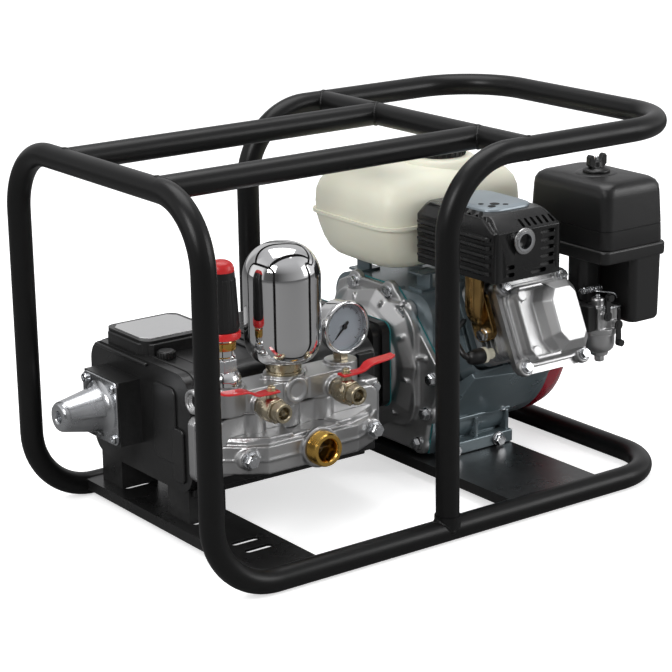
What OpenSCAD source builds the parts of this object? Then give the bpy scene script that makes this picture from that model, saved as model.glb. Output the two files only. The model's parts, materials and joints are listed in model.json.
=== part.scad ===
// Petrol-engine pressure washer: a triplex plunger pump and a small inclined
// four-stroke engine, coupled end to end inside a welded tube frame.
// Millimetres, +Z up, X along the length (pump at -X, engine at +X), front at -Y.
// Origin: centre of the frame's footprint, on the floor.

/* [Frame] */
// outside diameter of the frame tube
tube_diameter = 25.4; // [20:0.1:32]
// overall length over the tubes
frame_length = 660; // [550:1:800]
// overall width over the tubes
frame_width = 389; // [330:1:470]
// overall height, floor to the top of the top rails
frame_height = 422; // [360:1:510]
// how far the bottom cross tube stands back from the top one
bottom_setback = 17; // [0:1:40]
// position of the two middle posts along X
mid_post_x = -22; // [-60:1:0]
// position of the top cross bar along X
cross_bar_x = 86.2; // [40:0.1:120]
// rear long bar, distance from the centre line
rear_bar_y = 78; // [50:1:120]
// front long bar, distance from the centre line
front_bar_y = 101.6; // [50:0.1:120]
// centre-line bend radius of the hoop's foot
foot_bend = 75; // [40:1:100]
// centre-line bend radius of the hoop's top corners
hoop_bend = 70; // [40:1:100]
// centre-line bend radius of the bottom loop's corners
bottom_bend = 70; // [40:1:100]
// centre-line bend radius where the middle posts turn into the top rails
post_bend = 82; // [40:1:120]
// centre-line bend radius of the top loop's corners
top_bend = 85; // [40:1:120]

/* [Base plates] */
// height of the plates' top face
plate_top = 22; // [15:0.5:25]
// sheet thickness of the plates
plate_sheet = 3; // [2:0.5:5]
// depth of the folded edges
plate_fold = 12; // [6:1:18]
// width of the pump plate along X
pump_plate_width = 70; // [50:1:100]
// width of the engine plate along X
engine_plate_width = 126; // [100:1:140]

/* [Pump] */
// length of the crankcase along X
pump_case_length = 241; // [190:1:290]
// wall of the crankcase
pump_case_wall = 8; // [6:0.5:12]
// bore distance between the three plungers
plunger_pitch = 62; // [54:1:66]
// plunger diameter
plunger_diameter = 20; // [16:0.5:26]
// crankshaft journal diameter
pump_journal = 25; // [20:0.5:32]
// throw of the three eccentrics
pump_throw = 9; // [6:0.5:12]
// side of the square shaft-cover plate
cover_plate_side = 71; // [60:1:75]

/* [Delivery] */
// outside diameter of the air chamber
chamber_diameter = 82; // [70:1:95]
// height of the air chamber with its neck
chamber_height = 146; // [120:1:170]
// distance between the two delivery valves
valve_spacing = 95; // [80:1:110]
// outside diameter of a delivery outlet
outlet_diameter = 20.9; // [16:0.1:26]
// length of a valve lever from its stem to the tip
lever_length = 62; // [50:1:80]
// outside diameter of the suction inlet thread
inlet_diameter = 37; // [30:0.5:42]
// gauge case diameter
gauge_diameter = 58; // [50:1:64]
// regulator knob diameter at its foot
knob_diameter = 37; // [32:1:42]

/* [Engine] */
// height of the crank axis above the base plate
crank_height = 106; // [100:1:120]
// position of the engine's drive face along X
drive_face_x = 55; // [45:1:62]
// distance of the cylinder's axis from the drive face
cylinder_offset = 117; // [110:1:125]
// tilt of the cylinder above the horizontal
cylinder_tilt = 25; // [15:1:40]
// crankshaft main journal diameter
engine_journal = 25; // [20:0.5:30]
// cylinder bore
cylinder_bore = 68; // [60:1:72]
// diameter of the fan housing
fan_housing_diameter = 206; // [190:1:212]
// length of the fuel tank along X
tank_length = 208; // [180:1:210]
// height of the fuel tank
tank_height = 112; // [80:1:120]

/* [Fits] */
// radial clearance of a shaft running in its bore
running_clearance = 0.05; // [0.02:0.01:0.1]
// radial clearance around a part that is only dropped in
loose_clearance = 0.3; // [0.2:0.05:0.6]
// gap between the pump's back and the middle post
post_clearance = 1; // [0.5:0.1:4]
// gap between the engine's feet and a bottom rail
rail_clearance = 2; // [0.5:0.1:5]
// gap between the flywheel and the barrel's fins
fan_clearance = 2; // [1:0.5:6]
// radial clearance at a welded or screwed seat
seat_clearance = 0.02; // [0.01:0.01:0.05]

/* [Hidden] */
$fn = 64;
tr = tube_diameter / 2;
xl = -frame_length / 2 + tr;
xt = frame_length / 2 - tr;
xb = xt - bottom_setback;
ry = frame_width / 2 - tr;
zb = tr;
zt = frame_height - tr;
cut_r = tr + seat_clearance;
// shared crank axes: the engine pinion runs inside the pump's ring gear
ez = plate_top + crank_height;
ey = 72;
py = 100;
pz = ez;
// pump stations
fx = drive_face_x;
px1 = fx - 60;
px0 = px1 - pump_case_length;
pyf = -35;
pyr = 168;
pzb = pz - 71;
pzt = pz + 60;
pxc = px0 + pump_case_length / 2 + 2;
// rear cover ends short of the middle post
cover_x1 = min(px1 - 6, mid_post_x - tr - 6);
hx = pxc - 19.5;
// suction chamber: centre line, axis height and front face
sx = pxc - 4.5;
sz = pz - 22;
sy = pyf - 63;
pinion_r = 14;
ring_r = pinion_r + py - ey;
// delivery stations
my0 = pyf - 45;
my1 = pyf - 3;
mz0 = pz + 24;
mz1 = pz + 54;
mzc = (mz0 + mz1) / 2;
chy = pyf - 23;
vz = pz + 34;
lever_z = pz + 55;
// engine stations
cx0 = drive_face_x + 25;
cx1 = fx + 145;
cyl_x = drive_face_x + cylinder_offset;
head_d0 = 128;
fin_d0 = 84;
barrel_d0 = 60;
barrel_w = 88;
barrel_x1 = cyl_x + barrel_w / 2;
head_d1 = 188;
carb_x = cx1 + 50;
carb_y = -120;
carb_z = ez + 58;
tank_z = ez + 105;
tank_x = fx - 5;
tank_y0 = 9;
tank_y1 = 174;
fan_r = fan_housing_diameter / 2;
// side cover bolts, as Y and Z
cover_bolts = [[ey - 102, ez - 6], [ey - 52, ez + 62], [ey - 20, ez + 79], [ey + 44, ez + 79],
  [ey + 84, ez + 30], [ey + 86, ez - 56], [ey + 74, ez - 90], [ey - 74, ez - 90], [ey - 90, ez - 50]];
black = [0.09, 0.09, 0.1];
cast = [0.72, 0.73, 0.74];
steel = [0.62, 0.63, 0.65];
chrome = [0.85, 0.86, 0.88];
red = [0.78, 0.08, 0.07];
gold = [0.8, 0.62, 0.25];
cream = [0.9, 0.89, 0.8];
grey = [0.45, 0.52, 0.55];

// ---- small helpers -------------------------------------------------------
// cylinder along X
module cx(r, x0, x1, y, z) {
  translate([x0, y, z]) rotate([0, 90, 0]) cylinder(r = r, h = x1 - x0);
}
// cylinder along Y
module cy(r, y0, y1, x, z) {
  translate([x, y1, z]) rotate([90, 0, 0]) cylinder(r = r, h = y1 - y0);
}
// cylinder along Z
module cz(r, z0, z1, x, y) {
  translate([x, y, z0]) cylinder(r = r, h = z1 - z0);
}
// box between two corners
module bx(x0, x1, y0, y1, z0, z1) {
  translate([x0, y0, z0]) cube([x1 - x0, y1 - y0, z1 - z0]);
}
// rounded rectangle, centred
module rr(w, h, r) {
  square([w - 2 * r, h], center = true);
  square([w, h - 2 * r], center = true);
  for (i = [-1, 1])
    for (j = [-1, 1])
      translate([i * (w / 2 - r), j * (h / 2 - r)]) circle(r);
}
// block rounded about Z, Y or X
module slab_z(x0, x1, y0, y1, z0, z1, r) {
  translate([(x0 + x1) / 2, (y0 + y1) / 2, z0]) linear_extrude(z1 - z0) rr(x1 - x0, y1 - y0, r);
}
module slab_y(x0, x1, y0, y1, z0, z1, r) {
  translate([(x0 + x1) / 2, y1, (z0 + z1) / 2]) rotate([90, 0, 0])
    linear_extrude(y1 - y0) rr(x1 - x0, z1 - z0, r);
}
module slab_x(x0, x1, y0, y1, z0, z1, r) {
  translate([x0, (y0 + y1) / 2, (z0 + z1) / 2]) rotate([90, 0, 90])
    linear_extrude(x1 - x0) rr(y1 - y0, z1 - z0, r);
}
// hexagon bolt head or nut, across flats af
module hex_x(af, x0, x1, y, z) {
  translate([x0, y, z]) rotate([0, 90, 0]) cylinder(r = af / sqrt(3), h = x1 - x0, $fn = 6);
}
module hex_y(af, y0, y1, x, z) {
  translate([x, y1, z]) rotate([90, 0, 0]) cylinder(r = af / sqrt(3), h = y1 - y0, $fn = 6);
}
module hex_z(af, z0, z1, x, y) {
  translate([x, y, z0]) cylinder(r = af / sqrt(3), h = z1 - z0, $fn = 6);
}
// quarter bend of frame tube from +X to +Y about Z
module bend(radius, r = tr) {
  rotate_extrude(angle = 90) translate([radius, 0]) circle(r);
}
// both sides of the frame
module both() {
  children();
  mirror([0, 1, 0]) children();
}
// the engine cylinder's own frame: Z outwards along the bore, Y up the head face
module on_cylinder() {
  translate([cyl_x, ey, ez]) rotate([90 - cylinder_tilt, 0, 0]) children();
}

// ---- frame -----------------------------------------------------------------
// bottom loop and left hoop, one bent tube
module base_frame_tube() color(black) {
  cy(tr, -(ry - bottom_bend), ry - bottom_bend, xb, zb);
  cy(tr, -(ry - hoop_bend), ry - hoop_bend, xl, zt);
  both() {
    translate([xb - bottom_bend, ry - bottom_bend, zb]) bend(bottom_bend);
    cx(tr, xl + foot_bend, xb - bottom_bend, ry, zb);
    translate([xl + foot_bend, ry, zb + foot_bend]) rotate([0, 180, 0]) rotate([90, 0, 0])
      bend(foot_bend);
    cz(tr, zb + foot_bend, zt - hoop_bend, xl, ry);
    translate([xl, ry - hoop_bend, zt - hoop_bend]) rotate([90, 0, 90]) bend(hoop_bend);
  }
}
// middle posts and top loop, one bent tube
module top_loop_tube() color(black) {
  cy(tr, -(ry - top_bend), ry - top_bend, xt, zt);
  both() {
    translate([xt - top_bend, ry - top_bend, zt]) bend(top_bend);
    cx(tr, mid_post_x + post_bend, xt - top_bend, ry, zt);
    translate([mid_post_x + post_bend, ry, zt - post_bend]) rotate([90, 0, 180]) bend(post_bend);
    cz(tr, zb + tr + seat_clearance, zt - post_bend, mid_post_x, ry);
    // weld bead around the post's foot, bridging down onto the rail's sides
    difference() {
      cz(tr + 1.5, zb + 3, zb + tr + 4, mid_post_x, ry);
      cx(tr + 4 * seat_clearance, mid_post_x - 30, mid_post_x + 30, ry, zb);
    }
  }
}
module top_cross_bar() color(black) {
  difference() {
    cy(tr, -ry, ry, cross_bar_x, zt);
    both() cx(cut_r, cross_bar_x - 40, cross_bar_x + 40, ry, zt);
  }
}
module top_long_bars() color(black) {
  difference() {
    union() {
      cx(tr, xl, cross_bar_x, rear_bar_y, zt);
      cx(tr, xl, cross_bar_x, -front_bar_y, zt);
    }
    cy(cut_r, -ry, ry, xl, zt);
    both() translate([xl, ry - hoop_bend, zt - hoop_bend]) rotate([90, 0, 90]) bend(hoop_bend, cut_r);
    cy(cut_r, -ry, ry, cross_bar_x, zt);
  }
}
// folded channel plate between the bottom rails
module channel_plate(x0, x1) {
  difference() {
    union() {
      bx(x0, x1, -ry, ry, plate_top - plate_sheet, plate_top);
      bx(x0, x0 + plate_sheet, -ry, ry, plate_top - plate_fold, plate_top);
      bx(x1 - plate_sheet, x1, -ry, ry, plate_top - plate_fold, plate_top);
    }
    both() {
      cx(cut_r, max(x0 - 5, xl + foot_bend), x1 + 5, ry, zb);
      if (x0 < xl + foot_bend)
        translate([xl + foot_bend, ry, zb + foot_bend]) rotate([0, 180, 0]) rotate([90, 0, 0])
          bend(foot_bend, cut_r);
    }
  }
}
module slot(x, y, len, w) {
  slab_z(x - len / 2, x + len / 2, y - w / 2, y + w / 2, 0, plate_top + 5, w / 2 - 0.01);
}
module pump_base_plate() color(black) {
  difference() {
    channel_plate(px0 - 11, px0 - 11 + pump_plate_width);
    for (y = [-120, -95, -20, 10, 120, 148])
      slot(px0 - 11 + pump_plate_width / 2, y, 34, 9);
  }
}
module engine_base_plate() color(black) {
  difference() {
    channel_plate(cx0 - 8, cx0 - 8 + engine_plate_width);
    for (x = [115, 190])
      for (y = [ey - 81, ey + 81])
        cz(4.5, 0, plate_top + 5, x, y);
  }
}

// ---- pump ------------------------------------------------------------------
module pump_crankcase() color(black) {
  difference() {
    union() {
      slab_x(px0, px1, pyf, pyr, pzb, pzt, 26);
      slab_z(px0 + 6, px0 + 96, 60, 146, pzt - 10, pzt + 16, 12);
      bx(px0 - 27, px0 + 2, py - 36, py + 36, pz - 36, pz + 36);
      cx(ring_r + 18, px1 - 2, fx - 17, py, pz);
      slab_x(fx - 21, fx - 11, ey - 52, py + 62, pz - 44, pz + 52, 14);
      for (y = [-20, 118])
        bx(px0 + 4, px0 + 50, y, y + 42, plate_top, pzb + 12);
      hex_z(15, pzb - 9, pzb + 2, px0 + 60, 2);
    }
    slab_x(px0 + pump_case_wall, px1 - pump_case_wall, pyf + pump_case_wall, pyr - pump_case_wall,
      pzb + pump_case_wall, pzt - pump_case_wall, 18);
    // opening under the rear cover, and room for the middle post
    bx(px0 + 16, cover_x1 - 12, pyr - 30, pyr + 5, pzb + 32, pzt - 32);
    cz(tr + post_clearance, pzb - 20, pzt + 30, mid_post_x, ry);
    cx(pump_journal / 2 + running_clearance, px0 - 40, px0 + 20, py, pz);
    cx(pump_journal / 2 + running_clearance, px1 - 20, px1 + 20, py, pz);
    cx(ring_r + 12, px1 + 3, fx + 5, py, pz);
    for (i = [-1, 0, 1])
      cy(plunger_diameter / 2 + running_clearance, pyf - 5, pyf + 15, pxc + i * plunger_pitch, pz);
    for (j = [-1, 1])
      cx(4 + seat_clearance, fx - 25, fx - 5, ey - 34, ez + 4 + j * 34);
    cz(7, pzt - 12, pzt + 20, px0 + 22, 44);
  }
}
module pump_rear_cover() color(black) {
  slab_y(px0 + 6, cover_x1, pyr, pyr + 6, pzb + 8, pzt - 8, 16);
  slab_y(px0 + 30, cover_x1 - 24, pyr + 6, pyr + 9, pzb + 28, pzt - 28, 10);
  for (x = [px0 + 16, (px0 + cover_x1) / 2, cover_x1 - 10])
    for (z = [pzb + 18, pzt - 18])
      hex_y(10, pyr + 6, pyr + 11, x, z);
}
module pump_nameplate() color(chrome) {
  slab_z(px0 + 13, px0 + 89, 68, 138, pzt + 16, pzt + 17, 5);
}
module pump_oil_plug() color(black) {
  cz(7 - running_clearance, pzt - 6, pzt, px0 + 22, 44);
  difference() {
    cz(10, pzt, pzt + 9, px0 + 22, 44);
    for (i = [0:11])
      translate([px0 + 22, 44, 0]) rotate([0, 0, i * 30]) cz(1.2, pzt - 1, pzt + 12, 10.4, 0);
  }
}

module shaft_cover() color(chrome) {
  difference() {
    union() {
      slab_x(px0 - 30, px0 - 27, py - cover_plate_side / 2, py + cover_plate_side / 2,
        pz - cover_plate_side / 2, pz + cover_plate_side / 2, 7);
      translate([px0 - 30, py, pz]) rotate([0, -90, 0])
        rotate_extrude() polygon([[0, 0], [29, 0], [25, 5], [23.5, 10], [16, 50], [14, 52], [0, 52]]);
      for (i = [-1, 1])
        for (j = [-1, 1])
          cx(5, px0 - 33, px0 - 30, py + i * 28, pz + j * 28);
    }
    translate([px0 - 26, py, pz]) rotate([0, -90, 0])
      rotate_extrude() polygon([[0, 0], [21, 0], [13, 49], [0, 49]]);
    cx(6.5, px0 - 90, px0 - 40, py, pz);
    for (i = [-1, 1])
      for (j = [-1, 1])
        hex_x(4, px0 - 34, px0 - 31.5, py + i * 28, pz + j * 28);
  }
}

module pump_crankshaft() color(steel) {
  cx(pump_journal / 2, px0 - 52, px1 + 5, py, pz);
  for (i = [-1, 0, 1])
    translate([pxc + i * plunger_pitch - 14, py, pz]) rotate([i * 120, 0, 0])
      cx(26, 0, 28, 0, pump_throw);
}
module pump_ring_gear() color(steel) {
  difference() {
    cx(ring_r + 8, px1 + 5, fx - 23, py, pz);
    cx(ring_r + 0.5, px1 + 12, fx - 15, py, pz);
  }
}
module pump_plungers() color(cream) {
  for (i = [-1, 0, 1])
    cy(plunger_diameter / 2, pyf - 31, pyf + 87, pxc + i * plunger_pitch, pz);
}
module plunger_block() color(cast) {
  difference() {
    union() {
      slab_y(px0 - 4, px1 - 4, pyf - 12, pyf, pz - 52, mz0 - 4, 10);
      slab_y(px0 + 14, px1 - 22, my0 + 12.1, pyf - 12, pz - 34, mz0 - 4, 12);
      for (i = [-1, 0, 1])
        cz(16, sz + 18.1, mz0 - 3, hx + i * 44, my0 + 22);
    }
    for (i = [-1, 0, 1])
      cy(plunger_diameter / 2 + running_clearance, pyf - 32, pyf + 35, pxc + i * plunger_pitch, pz);
  }
}
// outline of the suction chamber in plan, its ends tapering to the bolt ears
module suction_plan(inset) {
  polygon([[sx - 102 + inset, my0 + 12], [sx - 86 + inset, my0 - 2], [sx - 64 + inset, sy + inset],
    [sx + 52 - inset, sy + inset], [sx + 84 - inset, my0 - 2], [sx + 100 - inset, my0 + 12]]);
}
module suction_chamber() color(cast) {
  difference() {
    union() {
      translate([0, 0, sz - 17]) linear_extrude(30) suction_plan(0);
      translate([0, 0, sz + 13]) linear_extrude(5) suction_plan(6);
      for (x = [sx - 81, sx + 80]) {
        cy(11, my0 - 8, my0 + 12, x, sz);
        hex_y(13, my0 - 15, my0 - 8, x, sz);
      }
      cy(inlet_diameter / 2 + 4, sy - 4, sy + 2, sx, sz);
      bx(hx - 60, hx + 60, my0 + 9, my0 + 12, sz - 16, sz + 14);
    }
    cy(inlet_diameter / 2 - 4, sy - 20, my0 - 2, sx, sz);
  }
}
module suction_inlet() color(gold) {
  difference() {
    union() {
      cy(inlet_diameter / 2, sy - 18, sy - 4, sx, sz);
      cy(inlet_diameter / 2 - 4 - seat_clearance, sy - 4, sy + 6, sx, sz);
    }
    cy(inlet_diameter / 2 - 7, sy - 30, sy + 10, sx, sz);
  }
}

module delivery_manifold() color(cast) {
  difference() {
    union() {
      slab_y(hx - 78, hx + 76, my0, my1, mz0 + 2, mz1 - 4, 10);
      cz(22, mz0, mz1, hx - 75, chy);
      cz(18, mz0, mz1, hx + 74, chy);
      cz(22, mz0, mz1, hx, chy);
      for (i = [-1, 0, 1])
        cz(18, mz0 - 3, mz0 + 8, hx + i * 44, my0 + 22);
      for (i = [-1, 1])
        cy(12, my0 - 8, my0, hx + i * valve_spacing / 2, vz);
      cy(14, my0 - 3, my0 + 2, hx, mzc);
      cx(10, hx - 104, hx - 90, chy, mzc + 4);
      cx(13, hx - 116, hx - 104, chy, mzc + 4);
    }
    cx(6, hx - 88, hx + 70, chy, mzc - 1);
    for (i = [-1, 1])
      cy(6, my0 - 20, chy, hx + i * valve_spacing / 2, vz);
    cz(8, mzc, mz1 + 5, hx, chy);
    cz(7, mz1 - 10, mz1 + 5, hx - 75, chy);
    cz(5, mz1 - 8, mz1 + 5, hx + 74, chy);
    cx(6, hx - 130, hx - 84, chy, mzc + 4);
    cx(9, hx - 120, hx - 112, chy, mzc + 4);
    cy(10, my0 - 5, my0 - 2, hx, mzc);
  }
}
module air_chamber_neck() color(gold) {
  difference() {
    union() {
      cz(19, mz1, mz1 + 12, hx, chy);
      cz(15, mz1 + 12, mz1 + 20, hx, chy);
    }
    cz(8, mz1 - 2, mz1 + 30, hx, chy);
  }
}
// pressed steel bottle with a domed top and a rounded shoulder
module air_chamber() color(chrome) {
  cr = chamber_diameter / 2;
  z0 = mz1 + 12;
  h = chamber_height - 18;
  translate([hx, chy, z0]) rotate_extrude() difference() {
    union() {
      polygon([[15 + seat_clearance, 0], [19, 0], [cr - 8, 12], [cr, 24], [cr, h - 28], [cr - 6, h - 14],
        [cr - 18, h - 3], [12, h], [0, h], [0, 8.5], [15 + seat_clearance, 8.5]]);
    }
    polygon([[0, 11], [18, 11], [cr - 9, 16], [cr - 2.5, 26], [cr - 2.5, h - 29], [cr - 8, h - 16],
      [cr - 19, h - 5.5], [12, h - 2.5], [0, h - 2.5]]);
  }
}

// quarter-turn ball valve: body with its outlet thread to the front
module valve_body(x) {
  difference() {
    union() {
      cy(8.5, my0 - 14, my0 - 8, x, vz);
      translate([x, my0 - 24, vz]) sphere(r = 13.5);
      cy(11.5, my0 - 34, my0 - 13, x, vz);
      cy(outlet_diameter / 2, my0 - 47, my0 - 34, x, vz);
      cz(6, vz, lever_z - 4, x, my0 - 24);
    }
    cy(6, my0 - 60, my0, x, vz);
    translate([x, my0 - 24, vz]) sphere(r = 10 + loose_clearance);
    cz(3 + running_clearance, vz, lever_z, x, my0 - 24);
  }
}
module valve_ball(x) {
  difference() {
    translate([x, my0 - 24, vz]) sphere(r = 10);
    cx(5.8, x - 20, x + 20, my0 - 24, vz);
    bx(x - 20, x + 20, my0 - 30, my0 - 18, vz + 8.5, vz + 12);
  }
}
// lever drawn shut; way = -1 points to -X, 1 to +X
module valve_lever(x, way) {
  cz(3, vz + 8.5, lever_z + 3, x, my0 - 24);
  cz(7, lever_z - 4 + loose_clearance, lever_z - 1, x, my0 - 24);
  hex_z(8, lever_z - 1, lever_z + 4, x, my0 - 24);
  translate([x, my0 - 24, lever_z - 4 + loose_clearance]) scale([way, 1, 1]) {
    bx(4, lever_length * 0.34, -5, 5, 0, 3);
    translate([0, 0, 0]) rotate([90, 0, 0]) translate([0, 0, -6.5]) linear_extrude(13)
      polygon([[lever_length * 0.32, 0], [lever_length * 0.32, 3], [lever_length * 0.46, 9],
        [lever_length, 11], [lever_length, 7], [lever_length * 0.5, 5], [lever_length * 0.38, 0]]);
  }
}
module valve_body_left() color(gold) valve_body(hx - valve_spacing / 2);
module valve_body_right() color(gold) valve_body(hx + valve_spacing / 2);
module valve_ball_left() color(chrome) valve_ball(hx - valve_spacing / 2);
module valve_ball_right() color(chrome) valve_ball(hx + valve_spacing / 2);
module valve_lever_left() color(red) valve_lever(hx - valve_spacing / 2, -1);
module valve_lever_right() color(red) valve_lever(hx + valve_spacing / 2, 1);
module regulator_body() color(steel) {
  x = hx - 75;
  cz(7 - seat_clearance, mz1 - 8, mz1, x, chy);
  cz(16, mz1, mz1 + 16, x, chy);
  hex_z(27, mz1 + 16, mz1 + 30, x, chy);
  cz(12, mz1 + 30, mz1 + 53, x, chy);
  cz(6, mz1 + 53, mz1 + 66, x, chy);
}
module regulator_knob() color(black) {
  x = hx - 75;
  kr = knob_diameter / 2;
  difference() {
    translate([x, chy, mz1 + 51]) rotate_extrude()
      polygon([[0, 0], [kr, 0], [kr + 0.6, 2], [kr + 0.6, 8], [kr - 1, 10], [kr - 5, 72], [kr - 7, 79],
        [kr - 12, 82], [0, 82]]);
    cz(12 + loose_clearance, mz1 + 40, mz1 + 53.5, x, chy);
    cz(6 + running_clearance, mz1 + 40, mz1 + 68, x, chy);
    for (i = [0:7])
      translate([x, chy, 0]) rotate([0, 0, i * 45 + 22.5])
        bx(kr - 2.6, kr + 4, -2, 2, mz1 + 63, mz1 + 118);
  }
}
module gauge_case() color(chrome) {
  x = hx + 74;
  gr = gauge_diameter / 2;
  difference() {
    union() {
      cz(5 - seat_clearance, mz1 - 6, mz1, x, chy);
      hex_z(14, mz1, mz1 + 8, x, chy);
      cz(6, mz1 + 8, mz1 + 16, x, chy);
      cy(gr - 1.5, chy - 13, chy + 13, x, mz1 + 8 + gr);
      cy(gr, chy - 15, chy - 9, x, mz1 + 8 + gr);
    }
    cy(gr - 4, chy - 20, chy + 10, x, mz1 + 8 + gr);
  }
}
module gauge_dial() color([0.92, 0.93, 0.95]) {
  x = hx + 74;
  gr = gauge_diameter / 2;
  difference() {
    cy(gr - 4 - seat_clearance, chy - 7, chy - 5, x, mz1 + 8 + gr);
    cy(1.5 + running_clearance, chy - 10, chy, x, mz1 + 8 + gr);
  }
}
// needle drawn at zero, lower left of the dial
module gauge_needle() color(black) {
  x = hx + 74;
  gr = gauge_diameter / 2;
  translate([x, 0, mz1 + 8 + gr]) rotate([0, -45, 0]) {
    cy(1.5, chy - 9, chy - 1, 0, 0);
    cy(3, chy - 9.5, chy - 8, 0, 0);
    translate([0, chy - 8, 0]) rotate([90, 0, 0]) linear_extrude(0.8)
      polygon([[-gr * 0.6, -0.4], [-gr * 0.6, 0.4], [0, 1.6], [7, 1.8], [7, -1.8], [0, -1.6]]);
  }
}
module gauge_lens() color([0.8, 0.85, 0.9, 0.4]) {
  cy(gauge_diameter / 2 - 4 - seat_clearance, chy - 13, chy - 11, hx + 74, mz1 + 8 + gauge_diameter / 2);
}

// ---- coupling ----------------------------------------------------------------
module coupling_adapter() color(black) {
  difference() {
    union() {
      slab_x(fx - 11, fx, ey - 56, py + 64, pz - 46, pz + 54, 12);
      for (j = [-1, 1]) {
        cx(8, fx - 24, fx - 21, ey - 34, ez + 4 + j * 34);
        hex_x(13, fx - 30, fx - 24, ey - 34, ez + 4 + j * 34);
        cx(4, fx - 22, fx - 9, ey - 34, ez + 4 + j * 34);
      }
    }
    cx(22, fx - 15, fx + 5, ey, ez);
  }
}

// ---- engine ------------------------------------------------------------------
module cover_plan() {
  polygon([[ey - 84, ez - 100], [ey + 86, ez - 100], [ey + 96, ez - 60], [ey + 96, ez + 20],
    [ey + 76, ez + 74], [ey + 50, ez + 86], [ey - 30, ez + 86], [ey - 64, ez + 58],
    [ey - 112, ez + 6], [ey - 112, ez - 16], [ey - 92, ez - 60]]);
}
module engine_crankcase() color(grey) {
  difference() {
    union() {
      translate([cx0 + 8, 0, 0]) rotate([90, 0, 90]) linear_extrude(8) cover_plan();
      slab_x(cx0 + 8, cx1, ey - 92, ey + 92, plate_top + 8, ez + 84, 28);
      for (y = [ey - 98, ey + 60])
        bx(cx0 + 20, cx1, y, y + 38, plate_top, plate_top + 14);
      bx(cx0 + 8, cx1, ey - 84, ey + 84, plate_top + 4, plate_top + 40);
      on_cylinder() {
        translate([0, 0, barrel_d0]) linear_extrude(head_d0 - barrel_d0) rr(barrel_w, 84, 14);
        for (i = [0:5])
          translate([0, 0, fin_d0 + i * 7.5]) linear_extrude(2.5) rr(104, 98, 12);
      }
    }
    both() cx(tr + rail_clearance, cx0, cx1 + 5, ry, zb);
    slab_x(cx0 + 16, cx1 - 8, ey - 84, ey + 84, plate_top + 14, ez + 76, 22);
    cx(78, cx0 - 2, cx0 + 20, ey, ez);
    on_cylinder() cylinder(r = cylinder_bore / 2, h = head_d0 + 5);
    cx(engine_journal / 2 + running_clearance, cx1 - 20, cx1 + 10, ey, ez);
    for (y = [ey - 81, ey + 81])
      for (x = [115, 190])
        cz(4.5, 0, plate_top + 20, x, y);
    // oil filler in the rear wall
    cy(9, ey + 70, ey + 110, 140, plate_top + 32);
  }
  for (x = [110, 186])
    for (y = [22, 136]) {
      bx(x - 14, x + 14, y - 12, y + 12, ez + 84, ez + 87);
      bx(x - 2, x + 2, y - 12, y + 12, ez + 87, tank_z - 2);
      bx(x - 14, x + 14, y - 12, y + 12, tank_z - 2, tank_z);
    }
}
module engine_side_cover() color(cast) {
  difference() {
    union() {
      translate([cx0, 0, 0]) rotate([90, 0, 90]) linear_extrude(8) cover_plan();
      translate([cx0 - 8, 0, 0]) slab_x(0, 10, ey - 78, ey + 78, ez - 74, ez + 72, 34);
      cx(56, fx, cx0, ey, ez);
      for (a = [20:40:340])
        translate([drive_face_x + 8, ey, ez]) rotate([a, 0, 0]) bx(0, 17, -2, 2, 50, 76);
    }
    cx(engine_journal / 2 + running_clearance, drive_face_x - 5, cx0 + 20, ey, ez);
    cx(44, drive_face_x + 10, cx0 + 20, ey, ez);
    for (p = cover_bolts)
      cx(8 + loose_clearance, cx0 - 20, cx0, p[0], p[1]);
    cx(26, drive_face_x - 5, drive_face_x + 4, ey, ez);
  }
}
module side_cover_bolts() color(steel) {
  for (p = cover_bolts) {
    cx(8, cx0 - 2, cx0, p[0], p[1]);
    hex_x(12, cx0 - 9, cx0 - 2, p[0], p[1]);
  }
}
// crankshaft with its pinion, running in the side cover and the crankcase wall
module engine_crankshaft() color(steel) {
  cx(pinion_r - 0.8, fx - 45, fx - 25, ey, ez);
  cx(10, fx - 25, fx, ey, ez);
  cx(engine_journal / 2, drive_face_x, cyl_x - 22, ey, ez);
  cx(engine_journal / 2, cyl_x + 20, cx1 + 14, ey, ez);
  cx(10, cx1 + 14, cx1 + 50, ey, ez);
  difference() {
    union() {
      cx(42, cyl_x - 22, cyl_x - 12, ey, ez);
      cx(42, cyl_x + 10, cyl_x + 20, ey, ez);
    }
    for (s = [-1, 1])
      bx(cyl_x - 30, cyl_x + 30, ey - 50, ey + 50, ez + 34, ez + 60);
  }
  cx(15, cyl_x - 12, cyl_x + 10, ey, ez + 18);
}
module flywheel_fan() color(steel) {
  difference() {
    union() {
      cx(fin_d0 - fan_clearance, barrel_x1 + fan_clearance, cx1 + 26, ey, ez);
      cx(26, cx1 + 10, cx1 + 40, ey, ez);
      cx(barrel_d0 - fan_clearance, cx1 + 6, cx1 + 21, ey, ez);
      for (i = [0:15])
        translate([cx1 + 26, ey, ez]) rotate([i * 22.5, 0, 0])
          bx(0, 18, -1.5, 1.5, 56, fin_d0 - fan_clearance);
      cx(34, cx1 + 40, cx1 + 52, ey, ez);
    }
    cx(10 + seat_clearance, cx1 + 14, cx1 + 50, ey, ez);
    cx(engine_journal / 2 + seat_clearance, cx1, cx1 + 14, ey, ez);
  }
}
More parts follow.
